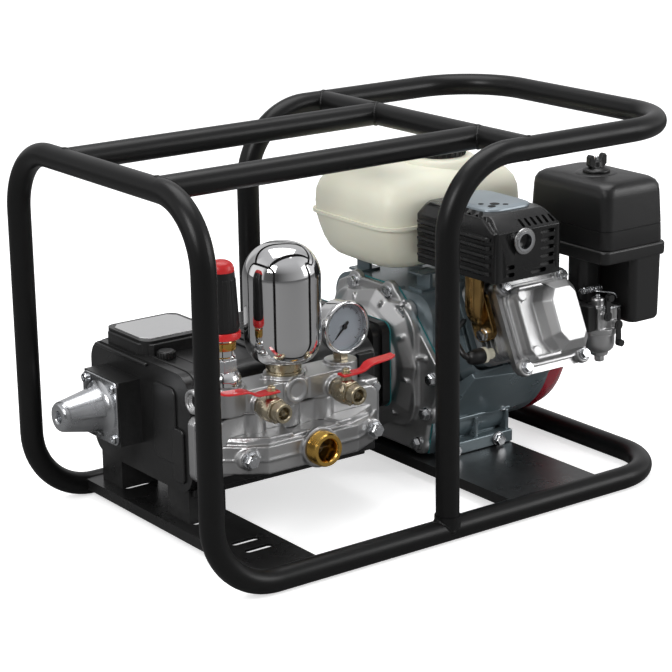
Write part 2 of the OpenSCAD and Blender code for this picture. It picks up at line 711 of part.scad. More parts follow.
module cylinder_head() color(cast) {
  difference() {
    on_cylinder() {
      translate([0, -4, head_d0]) linear_extrude(10) rr(98, 96, 12);
      translate([0, -6, head_d0 + 10]) linear_extrude(head_d1 - head_d0 - 10) rr(86, 88, 10);
      for (i = [0:2])
        translate([0, -2, head_d0 + 17 + i * 8]) linear_extrude(2.5) rr(98, 94, 12);
      translate([0, -20, head_d1 - 8]) linear_extrude(8) rr(100, 108, 14);
    }
    on_cylinder() translate([0, 0, head_d0 - 1]) cylinder(r1 = cylinder_bore / 2 - 4, r2 = 20, h = 14);
    on_cylinder() translate([-60, 4, head_d0 + 26]) rotate([0, 90, 0]) cylinder(r = 11, h = 40);
    on_cylinder() translate([20, 4, head_d0 + 26]) rotate([0, 90, 0]) cylinder(r = 11, h = 40);
  }
}
module valve_cover() color(cast) {
  difference() {
    on_cylinder() {
      translate([0, -20, head_d1]) linear_extrude(6) rr(100, 108, 14);
      translate([0, -20, head_d1 + 6]) linear_extrude(22) rr(82, 84, 14);
      translate([7, -20, head_d1 + 28]) linear_extrude(8) rr(64, 72, 12);
      for (i = [-1, 1])
        for (j = [-1, 1])
          translate([i * 42, -20 + j * 46, head_d1 + 6]) {
            cylinder(r = 6.5, h = 1.5);
            translate([0, 0, 1.5]) cylinder(r = 10 / sqrt(3), h = 5, $fn = 6);
          }
    }
    on_cylinder() translate([0, -20, head_d1 - 1]) linear_extrude(25) rr(76, 78, 12);
  }
}

module cylinder_shroud() color(grey) {
  difference() {
    on_cylinder() translate([0, -2, 66]) linear_extrude(56) rr(116, 116, 14);
    on_cylinder() translate([0, 2, 60]) linear_extrude(70) rr(112, 112, 12);
    on_cylinder() translate([-80, -10, 60]) cube([160, 90, 80]);
    cx(fan_r + 6, 0, 300, ey, ez);
    bx(cx1, cx1 + 45, ey - 134, ey, ez - 14, ez + 64);
  }
}
module spark_plug() color(cream) {
  on_cylinder() translate([-49.3, -39, head_d0 + 24]) rotate([0, -90, 0]) {
    cylinder(r = 6, h = 16);
    translate([0, 0, 10]) cylinder(r = 10, h = 6, $fn = 6);
    translate([0, 0, 16]) cylinder(r = 8, h = 14);
  }
}
module fan_housing() color(grey) {
  difference() {
    union() {
      cx(fan_r, cx1, cx1 + 58, ey, ez);
      bx(cx1 + 26, cx1 + 40, ey - 96, ey - 20, ez - 10, ez + 60);
      bx(cx1 + 22, cx1 + 48, ey - 116, ey - 90, ez + 10, ez + 34);
      bx(cx1 + 26, cx1 + 56, ey - 112, ey - 62, ez + 78, ez + 81);
      bx(cx1 + 38, cx1 + 44, ey - 92, ey - 62, ez + 40, ez + 79);
    }
    cx(fan_r - 3, cx1 + 3, cx1 + 70, ey, ez);
    cx(30, cx1 - 5, cx1 + 5, ey, ez);
    bx(cx1 + 29, cx1 + 37, ey - 93, ey - 10, ez - 7, ez + 57);
    // notch where the finned barrel passes
    on_cylinder() translate([-60, -56, 50]) cube([112.5, 112, 90]);
    cz(3 + running_clearance, ez + 70, ez + 90, cx1 + 41, ey - 104);
    cy(3 + running_clearance, ey - 120, ey - 100, cx1 + 39, ez + 22);
  }
}
module recoil_cover() color(red) {
  difference() {
    translate([cx1 + 58, ey, ez]) rotate([0, 90, 0]) rotate_extrude()
      polygon([[0, 47], [52, 47], [76, 44], [92, 36], [100, 26], [fan_r, 14], [fan_r, 0], [fan_r - 3, 0],
        [fan_r - 3, 13], [97, 24], [90, 33], [75, 41], [52, 44], [0, 44]]);
    for (i = [0:11])
      translate([cx1 + 58, ey, ez]) rotate([i * 30, 0, 0]) bx(20, 60, -5, 5, 56, 84);
    cz(2.5 + loose_clearance, ez + 40, ez + 130, cx1 + 80, ey + 44);
  }
  difference() {
    bx(cx1 + 70, cx1 + 90, ey + 34, ey + 54, ez + 86, ez + 99);
    cz(2.5 + loose_clearance, ez + 40, ez + 130, cx1 + 80, ey + 44);
  }
}
// grip with the straight length of rope that hangs inside the cover
module starter_grip() color(black) {
  cz(2.5, ez + 30, ez + 106, cx1 + 80, ey + 44);
  slab_y(cx1 + 63, cx1 + 97, ey + 36, ey + 52, ez + 99.5, ez + 117, 7);
}
module exhaust_pipe() color(gold) {
  difference() {
    union() {
      on_cylinder() translate([-49, 4, head_d0 + 26]) rotate([0, -90, 0]) {
        linear_extrude(5) rr(34, 58, 10);
        translate([0, 0, 5]) cylinder(r = 12, h = 16);
      }
      cz(11, ez + 60, ez + 128, cyl_x - 62, ey - 138);
    }
    on_cylinder() translate([-45, 4, head_d0 + 26]) rotate([0, -90, 0]) cylinder(r = 8, h = 14);
  }
}
module muffler() color(steel) {
  difference() {
    union() {
      slab_x(fx + 37, fx + 115, -118, -2, ez + 128, ez + 184, 16);
      cy(11, -136, -116, fx + 69, ez + 167);
    }
    cy(8.5, -140, -118, fx + 69, ez + 167);
  }
}
module muffler_shield() color(black) {
  difference() {
    slab_z(fx + 29, fx + 125, -132, 6, ez + 124, ez + 194, 8);
    slab_z(fx + 31, fx + 123, -130, 4, ez + 117, ez + 192, 6);
    cy(14, -140, -120, fx + 69, ez + 167);
    for (i = [0:4])
      bx(fx + 25, fx + 35, -114, -8, ez + 135 + i * 11, ez + 139 + i * 11);
    for (i = [0:4])
      bx(fx + 95, fx + 119, -140, -120, ez + 139 + i * 10, ez + 143 + i * 10);
    bx(fx + 39, fx + 51, -140, -120, ez + 131, ez + 135);
    bx(fx + 39, fx + 51, -140, -120, ez + 142, ez + 146);
    for (i = [0:4])
      bx(fx + 39 + i * 16, fx + 47 + i * 16, -126, -102, ez + 188, ez + 198);
  }
}
module tank_body(inset) {
  intersection() {
    slab_z(tank_x + inset, tank_x + tank_length - inset, tank_y0 + inset, tank_y1 - inset,
      tank_z + inset, tank_z + tank_height - inset, 34 - inset);
    slab_x(tank_x - 5, tank_x + tank_length + 5, tank_y0 + inset, tank_y1 - inset,
      tank_z + inset, tank_z + tank_height - inset, 26 - inset);
    slab_y(tank_x + inset, tank_x + tank_length - inset, tank_y0 - 5, tank_y1 + 5,
      tank_z + inset, tank_z + tank_height - inset, 26 - inset);
  }
}
module fuel_tank() color(cream) {
  difference() {
    union() {
      tank_body(0);
      slab_z(tank_x - 1.5, tank_x + tank_length + 1.5, tank_y0 - 1.5, tank_y1 + 1.5,
        tank_z + 54, tank_z + 58, 35.5);
      cz(40, tank_z + 80, tank_z + tank_height + 6, fx + 121, 76);
    }
    tank_body(3);
    cz(22, tank_z + 60, tank_z + tank_height + 10, fx + 121, 76);
  }
}
module fuel_cap() color(black) {
  cz(21.7, tank_z + tank_height - 2, tank_z + tank_height + 6.3, fx + 121, 76);
  cz(30, tank_z + tank_height + 6.3, tank_z + tank_height + 20, fx + 121, 76);
}

module air_cleaner_base() color(black) {
  slab_z(cx1 + 26, cx1 + 124, -151, -16, ez + 124, ez + 140, 8);
  slab_z(cx1 + 72, cx1 + 118, -149, -78, ez + 50, ez + 124, 8);
}
module air_cleaner_cover() color(black) {
  difference() {
    union() {
      slab_z(cx1 + 30, cx1 + 119, -148, -19, ez + 140.3, ez + 213, 14);
      cz(24, ez + 212, ez + 215, cx1 + 72, -86);
    }
    slab_z(cx1 + 33, cx1 + 116, -145, -22, ez + 132, ez + 210, 12);
  }
}
module air_cleaner_knob() color(black) {
  cz(15, ez + 215.3, ez + 221, cx1 + 72, -86);
  cz(5, ez + 221, ez + 228, cx1 + 72, -86);
  bx(cx1 + 60, cx1 + 84, -89, -83, ez + 221, ez + 236);
}
// carburettor with its insulator to the head, bore along X
module carburettor() color(cast) {
  difference() {
    union() {
      bx(cyl_x + 50.3, cx1 + 34, carb_y - 12, -72, carb_z - 14, carb_z + 18);
      slab_x(cx1 + 34, cx1 + 64, carb_y - 15, carb_y + 15, carb_z - 13, carb_z + 14, 8);
      cz(17, carb_z - 40, carb_z - 14, carb_x, carb_y);
      cz(19, carb_z - 18, carb_z - 13.2, carb_x, carb_y);
      cz(13.5, carb_z - 20, carb_z - 10, carb_x, carb_y);
      cz(10, carb_z - 47, carb_z - 40, carb_x, carb_y);
      hex_z(10, carb_z - 53, carb_z - 47, carb_x, carb_y);
      cz(8, carb_z + 12, carb_z + 22, carb_x - 4, carb_y);
      for (x = [carb_x - 8, carb_x + 9])
        cy(5, carb_y - 20, carb_y - 12, x, carb_z + (x < carb_x ? 5 : -8));
    }
    cx(9, cx1 + 30, cx1 + 70, carb_y, carb_z + 1);
    for (x = [carb_x - 8, carb_x + 9])
      cy(2.5 + running_clearance, carb_y - 21, carb_y - 11, x, carb_z + (x < carb_x ? 5 : -8));
  }
}
module intake_elbow() color(black) {
  difference() {
    union() {
      slab_x(cx1 + 64.1, cx1 + 68, carb_y - 15, carb_y + 15, carb_z - 13, carb_z + 14, 8);
      slab_z(cx1 + 36, cx1 + 68, carb_y + 15.5, carb_y + 44, carb_z - 8, ez + 124, 9);
      bx(cx1 + 64.1, cx1 + 68, carb_y, carb_y + 30, carb_z - 8, carb_z + 14);
    }
    cx(9, cx1 + 60, cx1 + 66, carb_y, carb_z + 1);
  }
}
// choke lever, drawn open
module choke_lever() color(black) {
  cy(2.5, carb_y - 23, carb_y - 12, carb_x - 8, carb_z + 5);
  translate([carb_x - 8, carb_y - 20.3, carb_z + 5]) rotate([90, 0, 0]) {
    linear_extrude(2) rr(11, 11, 5);
    linear_extrude(2) polygon([[-3, 0], [3, 0], [4, 24], [1, 27], [-3, 24]]);
    translate([0, 22, 0]) cylinder(r = 4, h = 7);
  }
}
// fuel lever, drawn shut
module fuel_lever() color(black) {
  cy(2.5, carb_y - 23, carb_y - 12, carb_x + 9, carb_z - 8);
  translate([carb_x + 9, carb_y - 20.3, carb_z - 8]) rotate([90, 0, 0]) {
    linear_extrude(2) rr(11, 11, 5);
    linear_extrude(2) polygon([[-3, 0], [-4, -20], [0, -24], [4, -20], [3, 0]]);
    translate([0, -20, 0]) cylinder(r = 4, h = 7);
  }
}
module throttle_lever() color(grey) {
  cz(3, ez + 74, ez + 86, cx1 + 41, ey - 104);
  translate([cx1 + 41, ey - 104, ez + 81.3]) {
    linear_extrude(2) rr(14, 14, 6);
    linear_extrude(2) polygon([[-4, 0], [4, 0], [3, -34], [-3, -34]]);
    translate([0, -33, 0]) cylinder(r = 5, h = 8);
  }
}
module engine_switch() color(red) {
  cy(3, ey - 119, ey - 103, cx1 + 39, ez + 22);
  cy(8, ey - 122, ey - 116.3, cx1 + 39, ez + 22);
  bx(cx1 + 36.5, cx1 + 41.5, ey - 130, ey - 121, ez + 13, ez + 31);
}
module oil_dipstick() color(black) {
  cy(9 - running_clearance, ey + 84, ey + 92.3, 140, plate_top + 32);
  cy(3, ey + 40, ey + 84, 140, plate_top + 32);
  cy(15, ey + 92.3, ey + 100, 140, plate_top + 32);
  bx(137.5, 142.5, ey + 100, ey + 112, plate_top + 20, plate_top + 44);
}

base_frame_tube();
top_loop_tube();
top_cross_bar();
top_long_bars();
pump_base_plate();
engine_base_plate();
pump_crankcase();
pump_rear_cover();
pump_nameplate();
pump_oil_plug();
shaft_cover();
pump_crankshaft();
pump_ring_gear();
pump_plungers();
plunger_block();
suction_chamber();
suction_inlet();
delivery_manifold();
air_chamber();
air_chamber_neck();
valve_body_left();
valve_body_right();
valve_ball_left();
valve_ball_right();
valve_lever_left();
valve_lever_right();
regulator_body();
regulator_knob();
gauge_case();
gauge_dial();
gauge_needle();
gauge_lens();
coupling_adapter();
engine_crankcase();
engine_side_cover();
side_cover_bolts();
engine_crankshaft();
flywheel_fan();
cylinder_head();
valve_cover();
cylinder_shroud();
spark_plug();
fan_housing();
recoil_cover();
starter_grip();
exhaust_pipe();
muffler();
muffler_shield();
fuel_tank();
fuel_cap();
air_cleaner_base();
air_cleaner_cover();
air_cleaner_knob();
carburettor();
intake_elbow();
choke_lever();
fuel_lever();
throttle_lever();
engine_switch();
oil_dipstick();
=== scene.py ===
# %% [markdown]
# # An engine-driven pressure washer
# A plunger pump and a small four-stroke engine share one bent-tube frame.
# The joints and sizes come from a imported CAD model, and this lesson gives that model its looks:
# soft edges on castings, turned parts, fasteners, a moulded tank and the right finish on each.

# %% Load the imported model
import json
import math
import bpy
import bmesh
from mathutils import Matrix, Vector


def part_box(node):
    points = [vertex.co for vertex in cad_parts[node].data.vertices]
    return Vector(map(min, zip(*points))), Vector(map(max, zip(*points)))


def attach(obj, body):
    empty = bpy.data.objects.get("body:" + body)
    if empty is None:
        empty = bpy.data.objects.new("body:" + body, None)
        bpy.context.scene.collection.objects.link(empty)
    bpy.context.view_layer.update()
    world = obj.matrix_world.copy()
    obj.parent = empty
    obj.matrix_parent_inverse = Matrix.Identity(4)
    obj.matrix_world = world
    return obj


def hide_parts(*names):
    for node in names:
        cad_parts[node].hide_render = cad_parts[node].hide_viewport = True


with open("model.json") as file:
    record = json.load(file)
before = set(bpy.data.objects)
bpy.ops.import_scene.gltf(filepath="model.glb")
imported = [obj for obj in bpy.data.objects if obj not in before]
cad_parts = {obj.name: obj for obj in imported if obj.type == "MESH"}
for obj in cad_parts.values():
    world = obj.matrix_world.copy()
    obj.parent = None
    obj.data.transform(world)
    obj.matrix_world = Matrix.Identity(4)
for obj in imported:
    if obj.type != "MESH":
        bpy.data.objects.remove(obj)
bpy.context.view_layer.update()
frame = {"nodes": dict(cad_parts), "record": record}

cad_nodes = frame["nodes"]
body_of_node = {}
for body_name, node_names in frame["record"]["behaviour"]["bodies"].items():
    for node_name in node_names:
        body_of_node[node_name] = body_name
slot_of_node = {row["node"]: row["material_slot"] for row in frame["record"]["subparts"]}
FIXED = "frame_and_housings"
MM = 0.001

# %% Helpers for node trees


def wire(links, *routes):
    """Join sockets: from a node's output to a node's input, for each route."""
    for source, leaving, goal, entering in routes:
        links.new(source.outputs[leaving], goal.inputs[entering])


def preset(node, values):
    """Set the unconnected inputs of a node."""
    for socket_name, value in values.items():
        node.inputs[socket_name].default_value = value


# %% [markdown]
# ## Camera
# The camera stands to the front left and looks down a little, through a long lens, so the tubes
# of the frame stay almost parallel. Its three angles turn into a matrix: the view direction
# first, then the right and up directions that belong to it.

# %% Camera
camera_place = Vector((-1.3762, -1.8488, 0.8557))
heading, lowering, roll = 0.6286, 0.2847, -0.0153
ahead = Vector((math.cos(lowering) * math.sin(heading), math.cos(lowering) * math.cos(heading),
                -math.sin(lowering)))
level_right = Vector((math.cos(heading), -math.sin(heading), 0.0))
level_up = level_right.cross(ahead)
cam_right = math.cos(roll) * level_right + math.sin(roll) * level_up
cam_up = -math.sin(roll) * level_right + math.cos(roll) * level_up
camera_data = bpy.data.cameras.new("studio_camera")
camera_data.sensor_width = 36.0
camera_data.lens = 115.96
camera_data.clip_end = 50.0
camera = bpy.data.objects.new("studio_camera", camera_data)
turn = Matrix((cam_right, cam_up, -ahead)).transposed().to_4x4()
camera.matrix_world = Matrix.Translation(camera_place) @ turn
bpy.context.scene.collection.objects.link(camera)
bpy.context.scene.camera = camera
print("camera at", [round(v, 3) for v in camera_place])

# %% [markdown]
# ## Studio
# Chrome shows whatever surrounds it. A white room alone would make it look like paper, so the
# world has a dark gap where a photographer stands and bright walls left and right. The ramp
# runs round the horizon. The floor is plain and pale, and large soft lights do the rest.

# %% World, floor and lights
world = bpy.data.worlds.new("studio_walls")
bpy.context.scene.world = world
world.use_nodes = True
wn, wl = world.node_tree.nodes, world.node_tree.links
wn.clear()
direction = wn.new("ShaderNodeTexCoord")
side = wn.new("ShaderNodeVectorMath")
side.operation = "DOT_PRODUCT"
side.inputs[1].default_value = level_right
back = wn.new("ShaderNodeVectorMath")
back.operation = "DOT_PRODUCT"
back.inputs[1].default_value = (-math.sin(heading), -math.cos(heading), 0.0)
bearing = wn.new("ShaderNodeMath")
bearing.operation = "ARCTAN2"
share = wn.new("ShaderNodeMapRange")
preset(share, {"From Min": -math.pi, "From Max": math.pi})
walls = wn.new("ShaderNodeValToRGB")
WALL_STOPS = ((0.0, 0.95), (0.1, 0.95), (0.13, 0.5), (0.19, 0.5), (0.21, 1.35), (0.33, 1.35),
              (0.36, 0.16), (0.47, 0.1), (0.56, 0.38), (0.68, 0.7), (0.72, 1.25), (0.84, 1.25),
              (0.87, 0.6), (0.93, 0.95), (1.0, 0.95))
for count, (bearing_share, glow) in enumerate(WALL_STOPS):
    ramp = walls.color_ramp.elements
    stop = ramp[count] if count < 2 else ramp.new(bearing_share)
    stop.position = bearing_share
    stop.color = (glow, glow, glow * 1.01, 1.0)
height = wn.new("ShaderNodeSeparateXYZ")
ceiling = wn.new("ShaderNodeMapRange")
preset(ceiling, {"From Min": 0.35, "From Max": 0.8})
up_mix = wn.new("ShaderNodeMix")
up_mix.data_type = "RGBA"
up_mix.inputs["B"].default_value = (0.85, 0.85, 0.87, 1.0)
lower = wn.new("ShaderNodeMapRange")
preset(lower, {"From Min": -0.55, "From Max": -0.02})
down_mix = wn.new("ShaderNodeMix")
down_mix.data_type = "RGBA"
down_mix.inputs["A"].default_value = (0.4, 0.4, 0.4, 1.0)
seen = wn.new("ShaderNodeLightPath")
seen_mix = wn.new("ShaderNodeMix")
seen_mix.data_type = "RGBA"
seen_mix.inputs["B"].default_value = (1.6, 1.6, 1.6, 1.0)
shine = wn.new("ShaderNodeBackground")
shine.inputs["Strength"].default_value = 0.66
room = wn.new("ShaderNodeOutputWorld")
wire(wl, (direction, "Generated", side, 0), (direction, "Generated", back, 0),
     (direction, "Generated", height, 0), (side, "Value", bearing, 0),
     (back, "Value", bearing, 1), (bearing, 0, share, "Value"), (share, "Result", walls, 0),
     (height, "Z", ceiling, "Value"), (ceiling, "Result", up_mix, "Factor"),
     (walls, 0, up_mix, "A"), (height, "Z", lower, "Value"),
     (lower, "Result", down_mix, "Factor"), (up_mix, "Result", down_mix, "B"),
     (seen, "Is Camera Ray", seen_mix, "Factor"), (down_mix, "Result", seen_mix, "A"),
     (seen_mix, "Result", shine, "Color"), (shine, 0, room, 0))


def soft_light(name, place, target, size, watts):
    """A square area light that looks at a target."""
    data = bpy.data.lights.new(name, "AREA")
    data.size = size
    data.energy = watts
    lamp = bpy.data.objects.new(name, data)
    aim = (Vector(target) - Vector(place)).to_track_quat("-Z", "Y").to_matrix().to_4x4()
    lamp.matrix_world = Matrix.Translation(place) @ aim
    bpy.context.scene.collection.objects.link(lamp)


soft_light("key_left", (-2.2, -0.9, 1.9), (0, 0, 0.2), 1.1, 36.0)
soft_light("fill_right", (1.9, -1.9, 1.1), (0, 0, 0.2), 1.2, 20.0)
soft_light("top_box", (0.2, 0.3, 2.2), (0, 0, 0.2), 1.6, 26.0)

floor_mesh = bpy.data.meshes.new("studio_floor")
floor_mesh.from_pydata([(-30, -30, 0), (30, -30, 0), (30, 30, 0), (-30, 30, 0)], [], [(0, 1, 2, 3)])
floor = bpy.data.objects.new("studio_floor", floor_mesh)
bpy.context.scene.collection.objects.link(floor)
floor_paint = bpy.data.materials.new("floor_paper")
floor_paint.use_nodes = True
fn, fl = floor_paint.node_tree.nodes, floor_paint.node_tree.links
paper = fn["Principled BSDF"]
preset(paper, {"Roughness": 0.8, "Specular IOR Level": 0.1})
rays = fn.new("ShaderNodeLightPath")
# metal reflects a dim floor, so that its dark bands stay dark
dim = fn.new("ShaderNodeMix")
dim.data_type = "RGBA"
preset(dim, {"A": (0.92, 0.92, 0.92, 1.0), "B": (0.2, 0.2, 0.2, 1.0)})
glow = fn.new("ShaderNodeMath")
glow.operation = "MULTIPLY"
glow.inputs[1].default_value = 0.6
wire(fl, (rays, "Is Glossy Ray", dim, "Factor"), (dim, "Result", paper, "Base Color"),
     (rays, "Is Camera Ray", glow, 0), (glow, 0, paper, "Emission Strength"))
paper.inputs["Emission Color"].default_value = (1.0, 1.0, 1.0, 1.0)
floor_mesh.materials.append(floor_paint)
bpy.context.scene.view_settings.view_transform = "Standard"
print("walls, three lights and a floor")

# %% [markdown]
# ## Effects that several finishes share
# Three shader node groups do what most finishes need. One gives a slow cloudy change of tint
# and gloss, one a fine grain for a bump, and one finds the raised edges where paint rubs thin.

# %% Shared shader groups


def shader_group(name, inputs, outputs):
    """A node group with typed sockets, and its two end nodes."""
    group = bpy.data.node_groups.new(name, "ShaderNodeTree")
    for label, kind, value in inputs:
        socket = group.interface.new_socket(label, in_out="INPUT", socket_type=kind)
        if value is not None:
            socket.default_value = value
    for label, kind in outputs:
        group.interface.new_socket(label, in_out="OUTPUT", socket_type=kind)
    return group, group.nodes.new("NodeGroupInput"), group.nodes.new("NodeGroupOutput")


FLOAT, COLOUR, VECTOR = "NodeSocketFloat", "NodeSocketColor", "NodeSocketVector"
cloudy, g_in, g_out = shader_group(
    "cloudy_tint",
    [("Place", VECTOR, None), ("Scale", FLOAT, 20.0), ("Light", COLOUR, None),
     ("Dark", COLOUR, None),
     ("Gloss Low", FLOAT, 0.3), ("Gloss High", FLOAT, 0.4)],
    [("Tint", COLOUR), ("Roughness", FLOAT)])
noise = cloudy.nodes.new("ShaderNodeTexNoise")
noise.inputs["Detail"].default_value = 5.0
blend = cloudy.nodes.new("ShaderNodeMix")
blend.data_type = "RGBA"
spread = cloudy.nodes.new("ShaderNodeMapRange")
preset(spread, {"From Min": 0.3, "From Max": 0.7})
wire(cloudy.links, (g_in, "Place", noise, "Vector"), (g_in, "Scale", noise, "Scale"),
     (noise, "Fac", blend, "Factor"), (g_in, "Light", blend, "A"), (g_in, "Dark", blend, "B"),
     (noise, "Fac", spread, "Value"), (g_in, "Gloss Low", spread, "To Min"),
     (g_in, "Gloss High", spread, "To Max"), (blend, "Result", g_out, "Tint"),
     (spread, "Result", g_out, "Roughness"))

grain, g_in, g_out = shader_group(
    "surface_grain",
    [("Place", VECTOR, None), ("Coarse", FLOAT, 300.0), ("Fine", FLOAT, 1500.0),
     ("Share", FLOAT, 0.5)],
    [("Height", FLOAT)])
coarse = grain.nodes.new("ShaderNodeTexNoise")
coarse.inputs["Detail"].default_value = 3.0
fine = grain.nodes.new("ShaderNodeTexVoronoi")
fine.feature = "SMOOTH_F1"
mix = grain.nodes.new("ShaderNodeMix")
wire(grain.links, (g_in, "Place", coarse, "Vector"), (g_in, "Place", fine, "Vector"),
     (g_in, "Coarse", coarse, "Scale"), (g_in, "Fine", fine, "Scale"),
     (g_in, "Share", mix, "Factor"), (coarse, "Fac", mix, "A"), (fine, "Distance", mix, "B"),
     (mix, "Result", g_out, "Height"))

rubbed, g_in, g_out = shader_group(
    "rubbed_edges",
    [("Place", VECTOR, None), ("Tint", COLOUR, None), ("Worn", COLOUR, None),
     ("Amount", FLOAT, 0.5)],
    [("Tint", COLOUR)])
shape = rubbed.nodes.new("ShaderNodeNewGeometry")
edge = rubbed.nodes.new("ShaderNodeMapRange")
preset(edge, {"From Min": 0.53, "From Max": 0.62})
patchy = rubbed.nodes.new("ShaderNodeTexNoise")
patchy.inputs["Scale"].default_value = 160.0
product = rubbed.nodes.new("ShaderNodeMath")
product.operation = "MULTIPLY"
amount = rubbed.nodes.new("ShaderNodeMath")
amount.operation = "MULTIPLY"
amount.use_clamp = True
worn_mix = rubbed.nodes.new("ShaderNodeMix")
worn_mix.data_type = "RGBA"
wire(rubbed.links, (shape, "Pointiness", edge, "Value"), (g_in, "Place", patchy, "Vector"),
     (edge, "Result", product, 0), (patchy, "Fac", product, 1), (product, 0, amount, 0),
     (g_in, "Amount", amount, 1), (amount, 0, worn_mix, "Factor"), (g_in, "Tint", worn_mix, "A"),
     (g_in, "Worn", worn_mix, "B"), (worn_mix, "Result", g_out, "Tint"))
print("shader groups:", cloudy.name, grain.name, rubbed.name)

# %% [markdown]
# ## Finishes
# Each finish is its own Principled shader with the groups above set to its own values. A cast
# surface has a visible grain, powder coat a faint orange peel, and plated steel almost none.

# %% Finish maker


def grey(value):
    """A neutral colour."""
    return (value, value, value, 1.0)


def finish(name, light, dark, gloss, scale=25.0, metal=0.0, bump=0.0, coarse=400.0, fine=1800.0,
           share=0.5, worn=None, wear=0.5, **sockets):
    """A material: cloudy tint and gloss, an optional grain, and worn edges."""
    material = bpy.data.materials.new(name)
    material.use_nodes = True
    nodes, links = material.node_tree.nodes, material.node_tree.links
    shader = nodes["Principled BSDF"]
    place = nodes.new("ShaderNodeTexCoord").outputs["Object"]
    tint = nodes.new("ShaderNodeGroup")
    tint.node_tree = cloudy
    preset(tint, {"Scale": scale, "Light": light, "Dark": dark, "Gloss Low": gloss[0],
                  "Gloss High": gloss[1]})
    links.new(place, tint.inputs["Place"])
    colour = tint.outputs["Tint"]
    if worn:
        rub = nodes.new("ShaderNodeGroup")
        rub.node_tree = rubbed
        preset(rub, {"Worn": worn, "Amount": wear})
        links.new(place, rub.inputs["Place"])
        links.new(colour, rub.inputs["Tint"])
        colour = rub.outputs["Tint"]
    links.new(colour, shader.inputs["Base Color"])
    links.new(tint.outputs["Roughness"], shader.inputs["Roughness"])
    shader.inputs["Metallic"].default_value = metal
    if bump:
        height_of = nodes.new("ShaderNodeGroup")
        height_of.node_tree = grain
        preset(height_of, {"Coarse": coarse, "Fine": fine, "Share": share})
        links.new(place, height_of.inputs["Place"])
        relief = nodes.new("ShaderNodeBump")
        preset(relief, {"Strength": 1.0, "Distance": bump})
        wire(links, (height_of, "Height", relief, "Height"), (relief, "Normal", shader, "Normal"))
    for label, value in sockets.items():
        shader.inputs[label.replace("_", " ")].default_value = value
    return material


# %% The finishes themselves
tube_black = finish("tube_powder_coat", grey(0.006), grey(0.004), (0.3, 0.38), bump=0.00004,
                    coarse=700, fine=1500, worn=grey(0.012), wear=0.3, Specular_IOR_Level=0.24)
plate_black = finish("plate_paint", grey(0.006), grey(0.004), (0.24, 0.36), bump=0.00006,
                     coarse=600, worn=grey(0.1), wear=0.5)
pump_black = finish("pump_casting_paint", grey(0.009), grey(0.006), (0.26, 0.38), bump=0.00016,
                    coarse=350, fine=1100, worn=grey(0.06), wear=0.4)
cast_grey = finish("cast_aluminium", grey(0.62), grey(0.5), (0.3, 0.44), metal=1.0, bump=0.00016,
                   coarse=450, fine=1500, share=0.6, worn=grey(0.8), wear=0.7)
bright_cast = finish("bright_die_casting", grey(0.64), grey(0.55), (0.4, 0.5), metal=1.0,
                     bump=0.00007, coarse=500, fine=1900, worn=grey(0.9), wear=0.7)
blue_paint = finish("blue_grey_paint", (0.2, 0.25, 0.27, 1), (0.15, 0.19, 0.21, 1), (0.26, 0.36),
                    metal=0.55, bump=0.00009, coarse=420, fine=1600, worn=grey(0.35), wear=0.4,
                    Coat_Weight=0.3, Coat_Roughness=0.15)
chrome = finish("chrome_plate", grey(0.82), grey(0.74), (0.03, 0.07), scale=9.0, metal=1.0)
zinc = finish("bright_zinc", (0.66, 0.67, 0.68, 1), (0.5, 0.51, 0.53, 1), (0.16, 0.3), scale=60,
              metal=1.0, bump=0.00005, coarse=500)
machined = finish("machined_steel", grey(0.5), grey(0.4), (0.2, 0.34), scale=80, metal=1.0)
brass = finish("machined_brass", (0.78, 0.5, 0.13, 1), (0.62, 0.36, 0.08, 1), (0.14, 0.26),
               scale=50, metal=1.0, bump=0.00003)
nickel = finish("nickel_brass", (0.56, 0.5, 0.38, 1), (0.42, 0.36, 0.25, 1), (0.2, 0.34),
                scale=70, metal=1.0, bump=0.00006, worn=(0.75, 0.62, 0.35, 1), wear=0.6)
bronze = finish("heat_tinted_pipe", (0.5, 0.33, 0.12, 1), (0.3, 0.16, 0.06, 1), (0.18, 0.34),
                scale=35, metal=1.0, bump=0.00004)
lever_red = finish("lever_dip_red", (0.62, 0.01, 0.014, 1), (0.5, 0.008, 0.01, 1), (0.28, 0.36),
                   bump=0.00005, Coat_Weight=0.4, Coat_Roughness=0.12)
cover_red = finish("cover_enamel_red", (0.3, 0.005, 0.02, 1), (0.22, 0.004, 0.014, 1), (0.2, 0.28),
                   Coat_Weight=0.8, Coat_Roughness=0.06, bump=0.00003)
cap_red = finish("knob_red_plastic", (0.56, 0.012, 0.014, 1), (0.46, 0.01, 0.01, 1), (0.32, 0.42),
                 bump=0.00003)
knob_black = finish("knob_black_plastic", grey(0.007), grey(0.005), (0.32, 0.42), bump=0.00004)
box_black = finish("moulded_black", grey(0.009), grey(0.006), (0.34, 0.44), bump=0.00007,
                   coarse=900, fine=2200, worn=grey(0.03), wear=0.4)
shield_black = finish("stove_black", grey(0.005), grey(0.003), (0.2, 0.34), bump=0.00005,
                      worn=grey(0.12), wear=0.5)
tank_cream = finish("tank_cream", (0.78, 0.77, 0.64, 1), (0.74, 0.73, 0.6, 1), (0.34, 0.42),
                    scale=8, bump=0.00005, coarse=160, fine=900, share=0.25, Subsurface_Weight=0.12,
                    Subsurface_Scale=0.004)
blank_plate = finish("blank_plate", grey(0.7), grey(0.62), (0.3, 0.4), scale=40, metal=0.9)
dial_white = finish("dial_white", (0.55, 0.62, 0.68, 1), (0.5, 0.57, 0.63, 1), (0.5, 0.6))
ink_black = finish("ink_black", grey(0.01), grey(0.006), (0.4, 0.5))
ivory = finish("ivory_ceramic", (0.72, 0.7, 0.56, 1), (0.64, 0.6, 0.46, 1), (0.35, 0.5),
               bump=0.00006)
gasket_teal = finish("gasket_teal", (0.02, 0.22, 0.23, 1), (0.015, 0.16, 0.17, 1), (0.5, 0.6))
